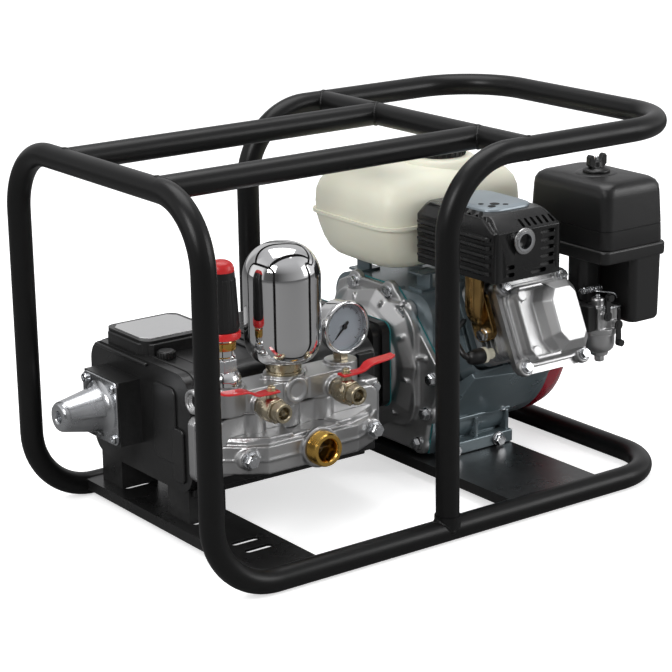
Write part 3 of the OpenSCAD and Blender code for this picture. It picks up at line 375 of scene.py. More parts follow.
# painted shade: a near-black finish for the discs that stand in for the dark inside of the muffler roof
# holes
hole_shade = finish("soot_black", grey(0.004), grey(0.002), (0.7, 0.85), bump=0.0001)
pad_grey = finish("pad_grey_blue", (0.3, 0.35, 0.38, 1), (0.24, 0.28, 0.31, 1), (0.28, 0.36),
                  metal=0.3, bump=0.00006)
lens_glass = finish("gauge_glass", grey(1.0), grey(0.98), (0.0, 0.02), Transmission_Weight=1.0,
                    IOR=1.2)
print("finishes:", len(bpy.data.materials))

# %% [markdown]
# ## Building by hand
# The helpers below think in millimetres and shrink the result to metres at the end. A turned
# part is a closed outline spun about an axis, a plate is an outline pushed along its normal,
# and a rod or spring is a circle carried along a path.

# %% Mesh helpers
X_AXIS, Y_AXIS, Z_AXIS = Vector((1, 0, 0)), Vector((0, 1, 0)), Vector((0, 0, 1))


def facing(axis, place=(0, 0, 0), spin=0.0):
    """The matrix that lays local Z along an axis at a place."""
    lay = Vector(axis).to_track_quat("Z", "Y").to_matrix().to_4x4()
    return Matrix.Translation(place) @ lay @ Matrix.Rotation(spin, 4, "Z")


def at(x, y, z=0):
    """The matrix that moves to a place."""
    return Matrix.Translation((x, y, z))


def add_turned(bm, outline, matrix=Matrix(), steps=48, close=True):
    """Spin an outline of (radius, height) pairs about local Z."""
    rings = []
    for radius, height_mm in outline:
        if radius < 1e-6:
            rings.append([bm.verts.new(matrix @ Vector((0, 0, height_mm)))])
            continue
        ring = []
        for step in range(steps):
            angle = 2 * math.pi * step / steps
            point = Vector((radius * math.cos(angle), radius * math.sin(angle), height_mm))
            ring.append(bm.verts.new(matrix @ point))
        rings.append(ring)
    pairs = list(zip(rings, rings[1:]))
    if close and len(rings[0]) > 1 and len(rings[-1]) > 1:
        pairs.append((rings[-1], rings[0]))
    for low, high in pairs:
        for step in range(steps):
            after = (step + 1) % steps
            if len(low) == 1 and len(high) == 1:
                continue
            if len(low) == 1:
                bm.faces.new((low[0], high[step], high[after]))
            elif len(high) == 1:
                bm.faces.new((low[step], low[after], high[0]))
            else:
                bm.faces.new((low[step], low[after], high[after], high[step]))


def add_rod(bm, radius, start, end, steps=32, chamfer=0.0):
    """A round bar between two points, with chamfered ends."""
    start, end = Vector(start), Vector(end)
    long = (end - start).length
    outline = [(0, 0), (radius - chamfer, 0), (radius, chamfer), (radius, long - chamfer),
               (radius - chamfer, long), (0, long)]
    if chamfer == 0:
        outline = [(0, 0), (radius, 0), (radius, long), (0, long)]
    add_turned(bm, outline, facing(end - start, start), steps)


def add_plate(bm, outline, low, high, matrix=Matrix()):
    """Push a flat outline from one height to another along local Z."""
    under = [bm.verts.new(matrix @ Vector((x, y, low))) for x, y in outline]
    over = [bm.verts.new(matrix @ Vector((x, y, high))) for x, y in outline]
    bm.faces.new(under[::-1])
    bm.faces.new(over)
    for step in range(len(outline)):
        after = (step + 1) % len(outline)
        bm.faces.new((under[step], under[after], over[after], over[step]))


def add_box(bm, low, high):
    """A box between two corners."""
    outline = [(low[0], low[1]), (high[0], low[1]), (high[0], high[1]), (low[0], high[1])]
    add_plate(bm, outline, low[2], high[2])


def round_rect(wide, high, radius, steps=6, cx=0.0, cy=0.0):
    """The outline of a rectangle with round corners."""
    points = []
    for corner, (sx, sy) in enumerate(((1, 1), (-1, 1), (-1, -1), (1, -1))):
        for step in range(steps + 1):
            angle = math.pi / 2 * (corner + step / steps)
            points.append((cx + sx * (wide / 2 - radius) + radius * math.cos(angle),
                           cy + sy * (high / 2 - radius) + radius * math.sin(angle)))
    return points


def add_path(bm, points, radius, steps=12):
    """Carry a circle along a path of points, with closed ends."""
    points = [Vector(p) for p in points]
    normal = None
    rings = []
    for count, point in enumerate(points):
        before, after = points[max(count - 1, 0)], points[min(count + 1, len(points) - 1)]
        tangent = (after - before).normalized()
        if normal is None:
            normal = tangent.orthogonal().normalized()
        normal = (normal - tangent * normal.dot(tangent)).normalized()
        other = tangent.cross(normal)
        ring = []
        for step in range(steps):
            angle = 2 * math.pi * step / steps
            ring.append(bm.verts.new(point + radius * (math.cos(angle) * normal + math.sin(angle) * other)))
        rings.append(ring)
    for low, high in zip(rings, rings[1:]):
        for step in range(steps):
            after = (step + 1) % steps
            bm.faces.new((low[step], low[after], high[after], high[step]))
    bm.faces.new(rings[0][::-1])
    bm.faces.new(rings[-1])


def smooth_path(points, steps=8):
    """A Catmull-Rom curve through the points."""
    points = [Vector(p) for p in points]
    path = []
    for count in range(len(points) - 1):
        p0, p1 = points[max(count - 1, 0)], points[count]
        p2, p3 = points[count + 1], points[min(count + 2, len(points) - 1)]
        for step in range(steps):
            t = step / steps
            path.append(0.5 * ((2 * p1) + (p2 - p0) * t + (2 * p0 - 5 * p1 + 4 * p2 - p3) * t * t
                               + (3 * p1 - p0 - 3 * p2 + p3) * t ** 3))
    path.append(points[-1])
    return path


def as_object(name, bm, scale=MM):
    """Turn a bmesh in millimetres into an object in metres."""
    bmesh.ops.recalc_face_normals(bm, faces=bm.faces[:])
    mesh = bpy.data.meshes.new(name)
    bm.to_mesh(mesh)
    bm.free()
    mesh.transform(Matrix.Scale(scale, 4))
    obj = bpy.data.objects.new(name, mesh)
    bpy.context.scene.collection.objects.link(obj)
    return obj


def settle(obj):
    """Apply an object's modifiers, so it holds one plain mesh."""
    graph = bpy.context.evaluated_depsgraph_get()
    mesh = bpy.data.meshes.new_from_object(obj.evaluated_get(graph))
    obj.modifiers.clear()
    spare = obj.data
    obj.data = mesh
    mesh.name = obj.name
    if spare.users == 0:
        bpy.data.meshes.remove(spare)
    return obj


def shade(obj, angle=38):
    """Smooth shading with crisp creases."""
    obj.data.polygons.foreach_set("use_smooth", [True] * len(obj.data.polygons))
    obj.data.set_sharp_from_angle(angle=math.radians(angle))
    return obj


def soften(obj, width=0.8, segments=2, angle=32):
    """Round the hard edges and keep the flats flat."""
    shade(obj, 180)
    bevel = obj.modifiers.new("soft_edge", "BEVEL")
    bevel.width = width * MM
    bevel.segments = segments
    bevel.limit_method = "ANGLE"
    bevel.angle_limit = math.radians(angle)
    bevel.miter_outer = "MITER_ARC"
    flats = obj.modifiers.new("flat_normals", "WEIGHTED_NORMAL")
    flats.weight = 80
    return settle(obj)


def cast_skin(obj, voxel=1.2, passes=5, keep=0.5):
    """Melt overlapping solids into one skin with small fillets, as a mould leaves it."""
    remesh = obj.modifiers.new("one_skin", "REMESH")
    remesh.mode = "VOXEL"
    remesh.voxel_size = voxel * MM
    ease = obj.modifiers.new("fillet", "SMOOTH")
    ease.factor = 0.5
    ease.iterations = passes
    thin = obj.modifiers.new("thin_out", "DECIMATE")
    thin.ratio = keep
    settle(obj)
    return shade(obj, 180)


def cut(obj, cutter):
    """Take one solid out of another."""
    tool = obj.modifiers.new("cut", "BOOLEAN")
    tool.operation = "DIFFERENCE"
    tool.solver = "EXACT"
    tool.object = cutter
    settle(obj)
    bpy.data.objects.remove(cutter, do_unlink=True)
    return obj


def cad_copy(*nodes):
    """A merged copy of CAD nodes as a bmesh in millimetres."""
    bm = bmesh.new()
    for node in nodes:
        bm.from_mesh(cad_nodes[node].data)
    bmesh.ops.transform(bm, matrix=Matrix.Scale(1 / MM, 4), verts=bm.verts[:])
    bmesh.ops.remove_doubles(bm, verts=bm.verts[:], dist=0.002)
    bmesh.ops.dissolve_limit(bm, angle_limit=math.radians(0.5), verts=bm.verts[:],
                             edges=bm.edges[:])
    return bm


def crisp(name, bm, angle=38):
    """A named object with smooth shading and crisp creases."""
    return shade(as_object(name, bm), angle)


def soft(name, bm, *limits):
    """A named object with softened edges."""
    return soften(as_object(name, bm), *limits)


finished = []


def place(obj, material, *nodes, body=None, slot=None):
    """Give a piece its finish, its body and the nodes it stands for."""
    obj.data.materials.clear()
    obj.data.materials.append(material)
    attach(obj, body or body_of_node[nodes[0]])
    if nodes:
        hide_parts(*nodes)
    finished.append(obj)
    return obj


print("helpers ready")

# %% [markdown]
# ## One tool for everything that repeats
# Screws, ribs, knurls, louvres and weld ripples are copies of one small shape at many places.
# A Geometry Nodes tree takes a cloud of points, puts the shape on each, turned the way that
# the point says, scales it a little at random from a fixed seed, and makes the copies real.

# %% The stamping tree
stamp_tree = bpy.data.node_groups.new("stamp_on_points", "GeometryNodeTree")
stamp_inputs = {}
for label, kind in (("Places", "NodeSocketGeometry"), ("Shape", "NodeSocketObject"),
                    ("Scatter", "NodeSocketFloat"), ("Seed", "NodeSocketInt"),
                    ("Finish", "NodeSocketMaterial")):
    socket = stamp_tree.interface.new_socket(label, in_out="INPUT", socket_type=kind)
    stamp_inputs[label] = socket.identifier
stamp_tree.interface.new_socket("Copies", in_out="OUTPUT", socket_type="NodeSocketGeometry")
tn, tl = stamp_tree.nodes, stamp_tree.links
t_in, t_out = tn.new("NodeGroupInput"), tn.new("NodeGroupOutput")
shape_in = tn.new("GeometryNodeObjectInfo")
turn_in = tn.new("GeometryNodeInputNamedAttribute")
turn_in.data_type = "FLOAT_VECTOR"
turn_in.inputs["Name"].default_value = "turn"
as_turn = tn.new("FunctionNodeEulerToRotation")
copies = tn.new("GeometryNodeInstanceOnPoints")
chance = tn.new("FunctionNodeRandomValue")
chance.data_type = "FLOAT"
spread_low = tn.new("ShaderNodeMath")
spread_low.operation = "SUBTRACT"
spread_low.inputs[0].default_value = 1.0
real = tn.new("GeometryNodeRealizeInstances")
paint = tn.new("GeometryNodeSetMaterial")
wire(tl, (t_in, "Places", copies, "Points"), (t_in, "Shape", shape_in, "Object"),
     (shape_in, "Geometry", copies, "Instance"), (turn_in, "Attribute", as_turn, "Euler"),
     (as_turn, "Rotation", copies, "Rotation"), (t_in, "Scatter", spread_low, 1),
     (spread_low, 0, chance, 2))
chance.inputs[3].default_value = 1.0
wire(tl, (t_in, "Seed", chance, "Seed"), (chance, 1, copies, "Scale"),
     (copies, "Instances", real, "Geometry"), (real, "Geometry", paint, "Geometry"),
     (t_in, "Finish", paint, "Material"), (paint, "Geometry", t_out, "Copies"))


def stamp(name, shape, places, material, scatter=0.0, seed=7):
    """Copies of a shape (in metres, about its origin) at matrices in millimetres."""
    mesh = bpy.data.meshes.new(name)
    mesh.from_pydata([tuple(m.translation * MM) for m in places], [], [])
    turns = mesh.attributes.new("turn", "FLOAT_VECTOR", "POINT")
    for count, matrix in enumerate(places):
        turns.data[count].vector = matrix.to_euler()
    obj = bpy.data.objects.new(name, mesh)
    bpy.context.scene.collection.objects.link(obj)
    tree = obj.modifiers.new("stamp", "NODES")
    tree.node_group = stamp_tree
    tree[stamp_inputs["Shape"]] = shape
    tree[stamp_inputs["Scatter"]] = scatter
    tree[stamp_inputs["Seed"]] = seed
    tree[stamp_inputs["Finish"]] = material
    settle(obj)
    bpy.data.objects.remove(shape, do_unlink=True)
    return obj


def around(axis, centre, radius, count, start=0.0, tilt=0.0):
    """Matrices on a circle, local X pointing outwards and local Z along the axis."""
    base = facing(axis, centre)
    ring = []
    for step in range(count):
        angle = start + 2 * math.pi * step / count
        ring.append(base @ Matrix.Rotation(angle, 4, "Z") @ at(radius, 0)
                    @ Matrix.Rotation(tilt, 4, "Y"))
    return ring


def hex_bolt(across=12.0, head=7.0, washer=16.0, stub=0.0):
    """A flanged hexagon bolt head that sits on local Z = 0."""
    bm = bmesh.new()
    corner = across / math.sqrt(3)
    add_turned(bm, [(0, 0), (washer / 2, 0), (washer / 2, 1.2), (washer / 2 - 0.8, 1.9),
                    (corner * 0.9, 2.2), (0, 2.2)], steps=24)
    rows = [(corner, 1.8), (corner, head - 1.4), (corner * 0.88, head), (0, head)]
    rows = [(0, 1.0)] + rows
    add_turned(bm, rows, steps=6)
    add_turned(bm, [(0, head - 0.5), (across * 0.32, head - 0.5), (across * 0.3, head + 0.35),
                    (0, head + 0.35)], steps=20)
    return crisp("bolt_head", bm, 25)


print("stamping tree:", len(stamp_tree.nodes), "nodes")

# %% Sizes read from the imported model


def span(node):
    """Lowest and highest corners of a node, in millimetres."""
    low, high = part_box(node)
    return Vector(low) / MM, Vector(high) / MM


def middle(node):
    """The middle of a node's box, in millimetres."""
    low, high = span(node)
    return (low + high) / 2


rail_low, rail_high = span("base_frame_tube")
top_low, _ = span("top_loop_tube")
tube_r = 12.7
rail_y = rail_high.y - tube_r
hoop_x = rail_low.x + tube_r
top_z = rail_high.z - tube_r
post_x = top_low.x + tube_r
bar_x = middle("top_cross_bar").x
print("rail y %.1f, hoop x %.1f, top z %.1f, post x %.1f" % (rail_y, hoop_x, top_z, post_x))

# %% [markdown]
# ## Weld ripples
# Where one tube meets another, the welder leaves a row of overlapping puddles along the joint.
# Two equal tubes meet in a saddle-shaped curve, so the curve is computed and one small
# flattened ball is stamped along it, each a little different in size.

# %% Ripples along the tube joints


def saddle(centre, run, stem, radius, steps):
    """Points where a stem tube leaves a run tube of the same radius."""
    run, stem = Vector(run), Vector(stem)
    across = run.cross(stem)
    places = []
    for step in range(steps):
        angle = 2 * math.pi * step / steps
        u, v = radius * math.cos(angle), radius * math.sin(angle)
        lift = math.sqrt(max(radius * radius - v * v, 0.0))
        point = Vector(centre) + run * u + across * v + stem * lift
        outwards = (run * u + across * v + stem * (lift * 0.6)).normalized()
        places.append(facing(outwards, point))
    return places


ripple = bmesh.new()
bmesh.ops.create_icosphere(ripple, subdivisions=2, radius=2.6)
bmesh.ops.scale(ripple, vec=(1.0, 1.0, 0.45), verts=ripple.verts[:])
ripple_object = crisp("weld_ripple", ripple, 180)
weld_places = []
for y_side in (-1, 1):
    weld_places += saddle((post_x, y_side * rail_y, rail_low.z + tube_r), X_AXIS, Z_AXIS, tube_r,
                          46)
    weld_places += saddle((bar_x, y_side * rail_y, top_z), X_AXIS, (0, -y_side, 0), tube_r, 46)
LONG_BAR_Y = (78.0, -101.6)
for bar_y in LONG_BAR_Y:
    weld_places += saddle((hoop_x, bar_y, top_z), Y_AXIS, X_AXIS, tube_r, 46)
    weld_places += saddle((bar_x, bar_y, top_z), Y_AXIS, (-1, 0, 0), tube_r, 46)
welds = stamp("weld_ripples", ripple_object, weld_places, tube_black, scatter=0.25)
place(welds, tube_black, body=FIXED, slot="frame_black")
print("weld ripples:", len(weld_places))

# %% [markdown]
# ## Base plates
# Two folded sheets carry the pump and the engine. The CAD node already has the folds and slots,
# so a merged copy with a small bevel is enough: folded sheet never has a razor edge.

# %% Folded base plates
for node_name in ("pump_base_plate", "engine_base_plate"):
    place(soft(node_name + "_folded", cad_copy(node_name), 0.7), plate_black, node_name)
print("base plates softened")

# %% [markdown]
# ## Pump crankcase
# The crankcase is one painted casting with broad round edges. It starts from the CAD shape with
# wide bevels. The ribs, the raised frame round the blank plate, the window panel on the end and
# the bosses are separate closed solids that overlap it, like features added to a pattern.

# %% Crankcase body and its cast features
plate_low, plate_high = span("pump_nameplate")
case_body = soft("pump_crankcase_body", cad_copy("pump_crankcase"), 2.2, 3)
place(case_body, pump_black, "pump_crankcase")

pump_left, pump_front = -246.0, -35.0
pump_foot, pump_top = 57.0, 188.0
features = bmesh.new()
frame_outline = [(-243, 73), (-231, 57), (-163, 57), (-148, 73), (-148, 134), (-160, 148),
                 (-231, 148), (-243, 134)]
add_plate(features, frame_outline, pump_top - 2, pump_top + 13)
for step, (low_x, high_x, low_y) in enumerate(((-138, -128, 14), (-124, -114, -4),
                                               (-110, -100, -20))):
    add_box(features, (low_x, low_y, pump_top - 3), (high_x, 122 - 6 * step, pump_top + 2.6))
for step in range(3):
    add_box(features, (-92 + 3 * step, 20 + 22 * step, pump_top - 3),
            (-14, 30 + 22 * step, pump_top + 3.5))
add_plate(features, round_rect(44, 84, 10), 0, 3.5,
          facing((-1, 0, 0), (pump_left + 1, 14, 128)))
add_plate(features, round_rect(22, 60, 6), 0, 4, facing((-1, 0, 0), (pump_left + 1, -12, 98)))
for low_x in (-238, -30):
    add_box(features, (low_x, pump_front - 3, pump_foot + 4),
            (low_x + 22, pump_front + 4, pump_top - 14))
add_box(features, (-216, pump_front - 2.5, pump_foot + 6), (-30, pump_front + 3, pump_foot + 22))
for rib_y in (-22, 26, 74, 122, 158):
    add_box(features, (-238, rib_y - 2.5, pump_foot - 5), (-12, rib_y + 2.5, pump_foot + 4))
add_box(features, (-250, 46, pump_top - 6), (-242, 152, pump_top - 2))
case_features = soft("pump_crankcase_features", features, 1.6, 3)
place(case_features, pump_black, body=FIXED, slot="pump_black")

lip = bmesh.new()
add_plate(lip, round_rect(206.5, 133.5, 27, 10), -1.2, 3.0, facing((-1, 0, 0), (-232, 66.5, 122.5)))
for ring_x in (-206, -44):
    add_plate(lip, round_rect(205.6, 132.6, 27, 10), 0, 7.0,
              facing((-1, 0, 0), (ring_x, 66.5, 122.5)))
case_lips = soft("pump_crankcase_bands", lip, 1.0, 2)
place(case_lips, pump_black, body=FIXED, slot="pump_black")
rear_cover = soft("pump_rear_cover_cast", cad_copy("pump_rear_cover"), 1.0, 2)
place(rear_cover, pump_black, "pump_rear_cover")
adapter = soft("coupling_adapter_cast", cad_copy("coupling_adapter"), 1.2, 2)
place(adapter, pump_black, "coupling_adapter")

blank = bmesh.new()
add_plate(blank, [(-236, 78), (-228, 68), (-164, 68), (-156, 78), (-156, 130), (-164, 139),
                  (-228, 139), (-236, 130)], plate_low.z - 3, plate_high.z)
blank_piece = soft("blank_nameplate", blank, 0.3, 2)
place(blank_piece, blank_plate, "pump_nameplate")

cap_low, cap_high = span("pump_oil_plug")
cap_x, cap_y = middle("pump_oil_plug").x, middle("pump_oil_plug").y
oil_cap = bmesh.new()
add_turned(oil_cap, [(0, cap_low.z), (6.9, cap_low.z), (6.9, pump_top + 0.2), (9.6, pump_top + 0.3),
                     (9.6, cap_high.z - 2), (8.4, cap_high.z - 0.5), (7, cap_high.z),
                     (4, cap_high.z - 0.6),
                     (0, cap_high.z - 0.6)], at(cap_x, cap_y), 40)
oil_cap_piece = crisp("pump_oil_cap", oil_cap, 40)
place(oil_cap_piece, knob_black, "pump_oil_plug")
knurl = bmesh.new()
add_rod(knurl, 0.9, (0, 0, 0.4), (0, 0, 7.2), 8, 0.3)
grip_places = around(Z_AXIS, (cap_x, cap_y, pump_top + 0.3), 9.4, 18)
cap_grips = stamp("pump_oil_cap_grips", crisp("grip_rib", knurl), grip_places, knob_black)
place(cap_grips, knob_black, body=body_of_node["pump_oil_plug"], slot="knob_black")
print("pump casting:", case_body.name, case_features.name)

# %% [markdown]
# ## Shaft cover
# The free end of the pump shaft hides under a zinc-plated pressing: a square plate with round
# corners, four socket screws and a cone with a hole at its tip. The cone is a turned outline
# with a small fillet where it grows out of the plate.

# %% Shaft cover
cover_low, _ = span("shaft_cover")
axis_y, axis_z = middle("shaft_cover").y, middle("shaft_cover").z
away = facing((-1, 0, 0), (-273.0, axis_y, axis_z))
pressing = bmesh.new()
add_plate(pressing, round_rect(71, 71, 8, 8), 0, 3, away)
pressing_plate = soft("shaft_cover_plate", pressing, 0.8, 2)
place(pressing_plate, zinc, "shaft_cover")
cone = bmesh.new()
reach = -cover_low.x - 273.0
cone_outline = [(6.5, 3), (31, 3), (29.5, 3.6), (27.2, 5), (25.6, 7.5), (24.6, 11)]
for step in range(1, 9):
    t = step / 8
    cone_outline.append((24.6 - 8.2 * t, 11 + (reach - 14) * t))
cone_outline += [(15.6, reach - 1.6), (14.6, reach - 0.4), (13.4, reach), (8, reach),
                 (7, reach - 0.6),
                 (6.5, reach - 2)]
add_turned(cone, cone_outline, away, 72)
cone_piece = crisp("shaft_cover_cone", cone, 40)
place(cone_piece, zinc, body=FIXED, slot="zinc_steel")
socket_screw = bmesh.new()
add_turned(socket_screw, [(2.4, 2.2), (0, 2.2), (0, 0), (5.4, 0), (5.4, 2.4), (4.6, 3.4),
                          (2.8, 3.4)],
           steps=24)
screw_places = [away @ at(sx * 28, sy * 28, 3.0) for sx in (-1, 1) for sy in (-1, 1)]
cover_screws = stamp("shaft_cover_screws", crisp("socket_screw", socket_screw), screw_places, zinc)
place(cover_screws, zinc, body=FIXED, slot="zinc_steel")
print("cone reaches", round(reach, 1), "mm from the plate")

# %% [markdown]
# ## Castings of the water side
# The suction chamber and the delivery manifold are sand-cast aluminium. Their solids are joined
# by a voxel skin and then eased a little. That turns every inside corner into the small fillet
# that molten metal needs, which a bevel alone can't do.

# %% Suction chamber, manifold and plunger block
suction = cad_copy("suction_chamber")
split_z = 104.0
add_plate(suction, [(-231, -68.5), (-214.5, -83), (-192, -98.8), (-76, -98.8), (-43.5, -83),
                    (-27, -68.5)],
          split_z - 0.8, split_z + 0.8)
add_plate(suction, [(-222, -68), (-206, -80), (-186, -93), (-158, -95), (-152, -68)], 122, 127)
add_plate(suction, [(-104, -68), (-98, -95), (-82, -93), (-52, -80), (-36, -68)], 122, 127)
for step in (-1, 0, 1):
    add_turned(suction, [(0, 118), (20, 118), (20, 122.4), (18.6, 124), (0, 124)],
               at(-143 + 44 * step, -58), 36)
place(cast_skin(as_object("suction_casting", suction), 1.1, 6, 0.5), cast_grey, "suction_chamber")

manifold = cad_copy("delivery_manifold")
add_turned(manifold, [(9.5, 3.2), (12.8, 3.2), (13.6, 2.4), (13.6, -2), (9.5, -2)],
           facing((0, -1, 0), (-143, -80, 167)), 40)
add_box(manifold, (-205, -81.2, 155), (-160, -79, 179))
add_box(manifold, (-126, -81.2, 155), (-84, -79, 179))
for x in (-212, -165, -121, -80):
    add_turned(manifold, [(0, 178), (6, 178), (6, 183), (0, 183)], at(x, -58), 20)
place(cast_skin(as_object("delivery_casting", manifold), 0.9, 5, 0.5), cast_grey,
      "delivery_manifold")

block = cad_copy("plunger_block")
for x in (-236, -22):
    add_box(block, (x - 9, -50, 76), (x + 9, -36, 148))
place(cast_skin(as_object("plunger_block_cast", block), 1.3, 4, 0.4), cast_grey, "plunger_block")

big_bolt = hex_bolt(14, 9, 19)
bolt_places = [facing((0, -1, 0), (x, -88.5, 106)) for x in (-209, -48)]
suction_bolts = stamp("suction_bolts", big_bolt, bolt_places, zinc)
place(suction_bolts, zinc, body=FIXED, slot="zinc_steel")
small_bolt = hex_bolt(10, 6, 14)
flange_places = [facing((0, -1, 0), (x, -47, z)) for x in (-242, -16) for z in (86, 138)]
flange_bolts = stamp("block_bolts", small_bolt, flange_places, zinc)
place(flange_bolts, zinc, body=FIXED, slot="zinc_steel")
print("castings:", [o.name for o in finished[-5:]])

# %% [markdown]
# ## Brass inlet
# The hose thread is a row of fine ridges on the turned outline. On a part this small the ridges
# are rings, not a helix: nobody can tell, and the mesh stays closed.

# %% Turned outlines with threads


def thread(radius, low, high, pitch=1.6, depth=0.7):
    """Outline points of a thread between two heights."""
    points = []
    height_mm = low
    while height_mm + pitch <= high + 1e-6:
        points += [(radius - depth, height_mm), (radius, height_mm + pitch * 0.35),
                   (radius, height_mm + pitch * 0.6), (radius - depth, height_mm + pitch * 0.95)]
        height_mm += pitch
    return points


inlet_at = middle("suction_inlet")
inlet_low, inlet_high = span("suction_inlet")
front = facing((0, -1, 0), (inlet_at.x, 0, inlet_at.z))
inlet = bmesh.new()
outline = [(11.5, -inlet_high.y), (14.4, -inlet_high.y), (14.4, 101.5), (18.3, 101.8)]
outline += thread(18.4, 103, 113.8, 1.8, 0.8)
outline += [(17.9, 114.2), (17.0, -inlet_low.y), (13.4, -inlet_low.y), (12.3, -inlet_low.y - 1.2),
            (11.5, -inlet_low.y - 3)]
add_turned(inlet, outline, front, 72)
place(crisp("brass_inlet", inlet, 30), brass, "suction_inlet")
print("inlet face at y", round(inlet_low.y, 1))

# %% [markdown]
# ## Ball valves
# Each valve is turned brass under nickel: a neck, a hexagon to hold with a spanner, the swollen
# middle that houses the ball, and the outlet thread. The lever is red-dipped sheet.

# %% Ball valves and levers


def ball_valve(side, x):
    """Body and lever of one valve on the manifold's front face."""
    lay = facing((0, -1, 0), (x, 0, 162.0))
    pivot = at(x, -104)
    body = bmesh.new()
    add_turned(body, [(6.2, 88), (8.4, 88), (8.4, 91.5), (11.4, 92), (12.6, 93.5), (13.5, 97),
                      (13.9, 101),
                      (13.9, 107), (13.3, 111), (12, 113.6), (10.2, 114.4)]
               + thread(10.4, 114.6, 125.4, 1.5, 0.6)
               + [(10.1, 125.9), (9.6, 126.9), (7.4, 126.9), (6.4, 125.8), (6.2, 120)], lay, 56)
    add_turned(body, [(0, 165), (6.2, 165), (6.2, 174.5), (5.4, 176.5), (5.4, 178.8), (3.2, 178.8),
                      (3.2, 170), (0, 170)],
               pivot, 32)
    place(crisp("valve_%s_turned" % side, body, 32), nickel, "valve_body_" + side)
    flats = bmesh.new()
    add_turned(flats, [(6.2, 89.5), (12.6, 89.5), (13.2, 90.1), (13.2, 93.6), (12.6, 94.2),
                       (6.2, 94.2)],
               lay @ Matrix.Rotation(0.2, 4, "Z"), 6)
    add_turned(flats, [(6.2, 112.2), (13.0, 112.2), (13.5, 112.8), (13.5, 115.6), (12.9, 116.2),
                       (6.2, 116.2)],
               lay @ Matrix.Rotation(0.2, 4, "Z"), 6)
    place(soft("valve_%s_flats" % side, flats, 0.25, 2), nickel, body=FIXED, slot="nickel_brass")
    way = -1 if side == "left" else 1
    lever = bmesh.new()
    rows = [(-7, 0, 6.5), (6, 0, 7.0), (17, 0, 5.4), (22, 1.2, 5.6), (28, 4.6, 7.2), (34, 6.2, 7.6),
            (44, 6.8, 7.4), (55, 7.6, 6.8), (60.5, 8.6, 5.4), (62, 9.4, 3.4)]
    for (x0, z0, w0), (x1, z1, w1) in zip(rows, rows[1:]):
        corners = []
        for px, pz, pw in ((x0, z0, w0), (x1, z1, w1)):
            for py, rise in ((-pw, 0.9 if px > 26 else 0.0), (0, 0.0),
                             (pw, 0.9 if px > 26 else 0.0)):
                corners.append((Vector((x + way * px, -104 + py, 179.3 + pz + rise)),
                                Vector((x + way * px, -104 + py, 181.8 + pz + rise))))
        verts = [(lever.verts.new(a), lever.verts.new(b)) for a, b in corners]
        for base in (0, 1):
            a, b, c, d = verts[base], verts[base + 1], verts[base + 4], verts[base + 3]
            lever.faces.new((a[0], b[0], c[0], d[0]))
            lever.faces.new((a[1], b[1], c[1], d[1]))
        for base in (0, 2):
            a, d = verts[base], verts[base + 3]
            lever.faces.new((a[0], d[0], d[1], a[1]))
        if (x0, z0) == rows[0][:2]:
            for base in (0, 1):
                lever.faces.new((verts[base][0], verts[base + 1][0], verts[base + 1][1],
                                 verts[base][1]))
        if (x1, z1) == rows[-1][:2]:
            for base in (3, 4):
                lever.faces.new((verts[base][0], verts[base + 1][0], verts[base + 1][1],
                                 verts[base][1]))
    bmesh.ops.remove_doubles(lever, verts=lever.verts[:], dist=0.01)
    bmesh.ops.recalc_face_normals(lever, faces=lever.faces[:])
    lever_piece = soft("valve_%s_lever_red" % side, lever, 0.7, 3, 40)
    place(lever_piece, lever_red, "valve_lever_" + side)
    stem = bmesh.new()
    add_turned(stem, [(0, 170.6), (2.9, 170.6), (2.9, 181.8), (5.2, 181.9), (5.2, 182.4),
                      (0, 182.4)],
               pivot, 24)
    add_turned(stem, [(0, 182.0), (4.4, 182.0), (4.6, 182.4), (4.6, 185.2), (4.1, 186), (0, 186)],
               pivot, 6)
    add_turned(stem, [(0, 185), (2.7, 185), (2.7, 187.2), (2.2, 187.7), (0, 187.7)],
               pivot, 20)
    place(crisp("valve_%s_stem_nut" % side, stem, 30), nickel,
          body=body_of_node["valve_lever_" + side], slot="zinc_steel")


ball_valve("left", -190.5)
ball_valve("right", -95.5)
print("valves:", [o.name for o in finished[-3:]])

# %% [markdown]
# ## Air chamber
# The pressed bottle is what the eye goes to first. Its outline is a quarter ellipse at the
# shoulder, a straight wall and a dome, sampled finely, because a mirror finish shows every
# facet. A plated neck joins it to the manifold. Its front is left plain.

# %% Air chamber and neck
bottle_low, bottle_high = span("air_chamber")
bottle_at = Matrix.Translation((middle("air_chamber").x, middle("air_chamber").y, 0))
bottle_r = (bottle_high.x - bottle_low.x) / 2
outline = [(0, bottle_low.z + 9), (15.1, bottle_low.z + 9), (15.1, bottle_low.z),
           (18.6, bottle_low.z)]
for step in range(1, 15):
    angle = math.pi / 2 * step / 14
    outline.append((18.6 + (bottle_r - 18.6) * math.sin(angle) ** 0.92,
                    bottle_low.z + 27 * (1 - math.cos(angle))))
straight = 8
for step in range(1, straight + 1):
    outline.append((bottle_r, bottle_low.z + 27 + (64.0 * step / straight)))
dome = bottle_high.z - outline[-1][1]
for step in range(1, 23):
    angle = math.pi / 2 * step / 22
    outline.append((bottle_r * math.cos(angle) ** 0.82 if step < 22 else 0.0,
                    bottle_high.z - dome + dome * math.sin(angle)))
bottle = bmesh.new()
add_turned(bottle, outline, bottle_at, 112)
place(crisp("air_chamber_bottle", bottle, 60), chrome, "air_chamber")
neck_low, neck_high = span("air_chamber_neck")
neck = bmesh.new()
add_turned(neck, [(8, neck_low.z), (18.2, neck_low.z), (18.9, neck_low.z + 0.8),
                  (18.9, neck_low.z + 2.4),
                  (17.4, neck_low.z + 2.9), (17.4, neck_low.z + 4.6), (18.9, neck_low.z + 5.1),
                  (18.9, neck_low.z + 10.9), (18.2, neck_low.z + 11.9), (15.0, neck_low.z + 12),
                  (15.0, neck_high.z), (8, neck_high.z)], bottle_at, 72)
place(crisp("air_chamber_neck_turned", neck, 30), nickel, "air_chamber_neck")
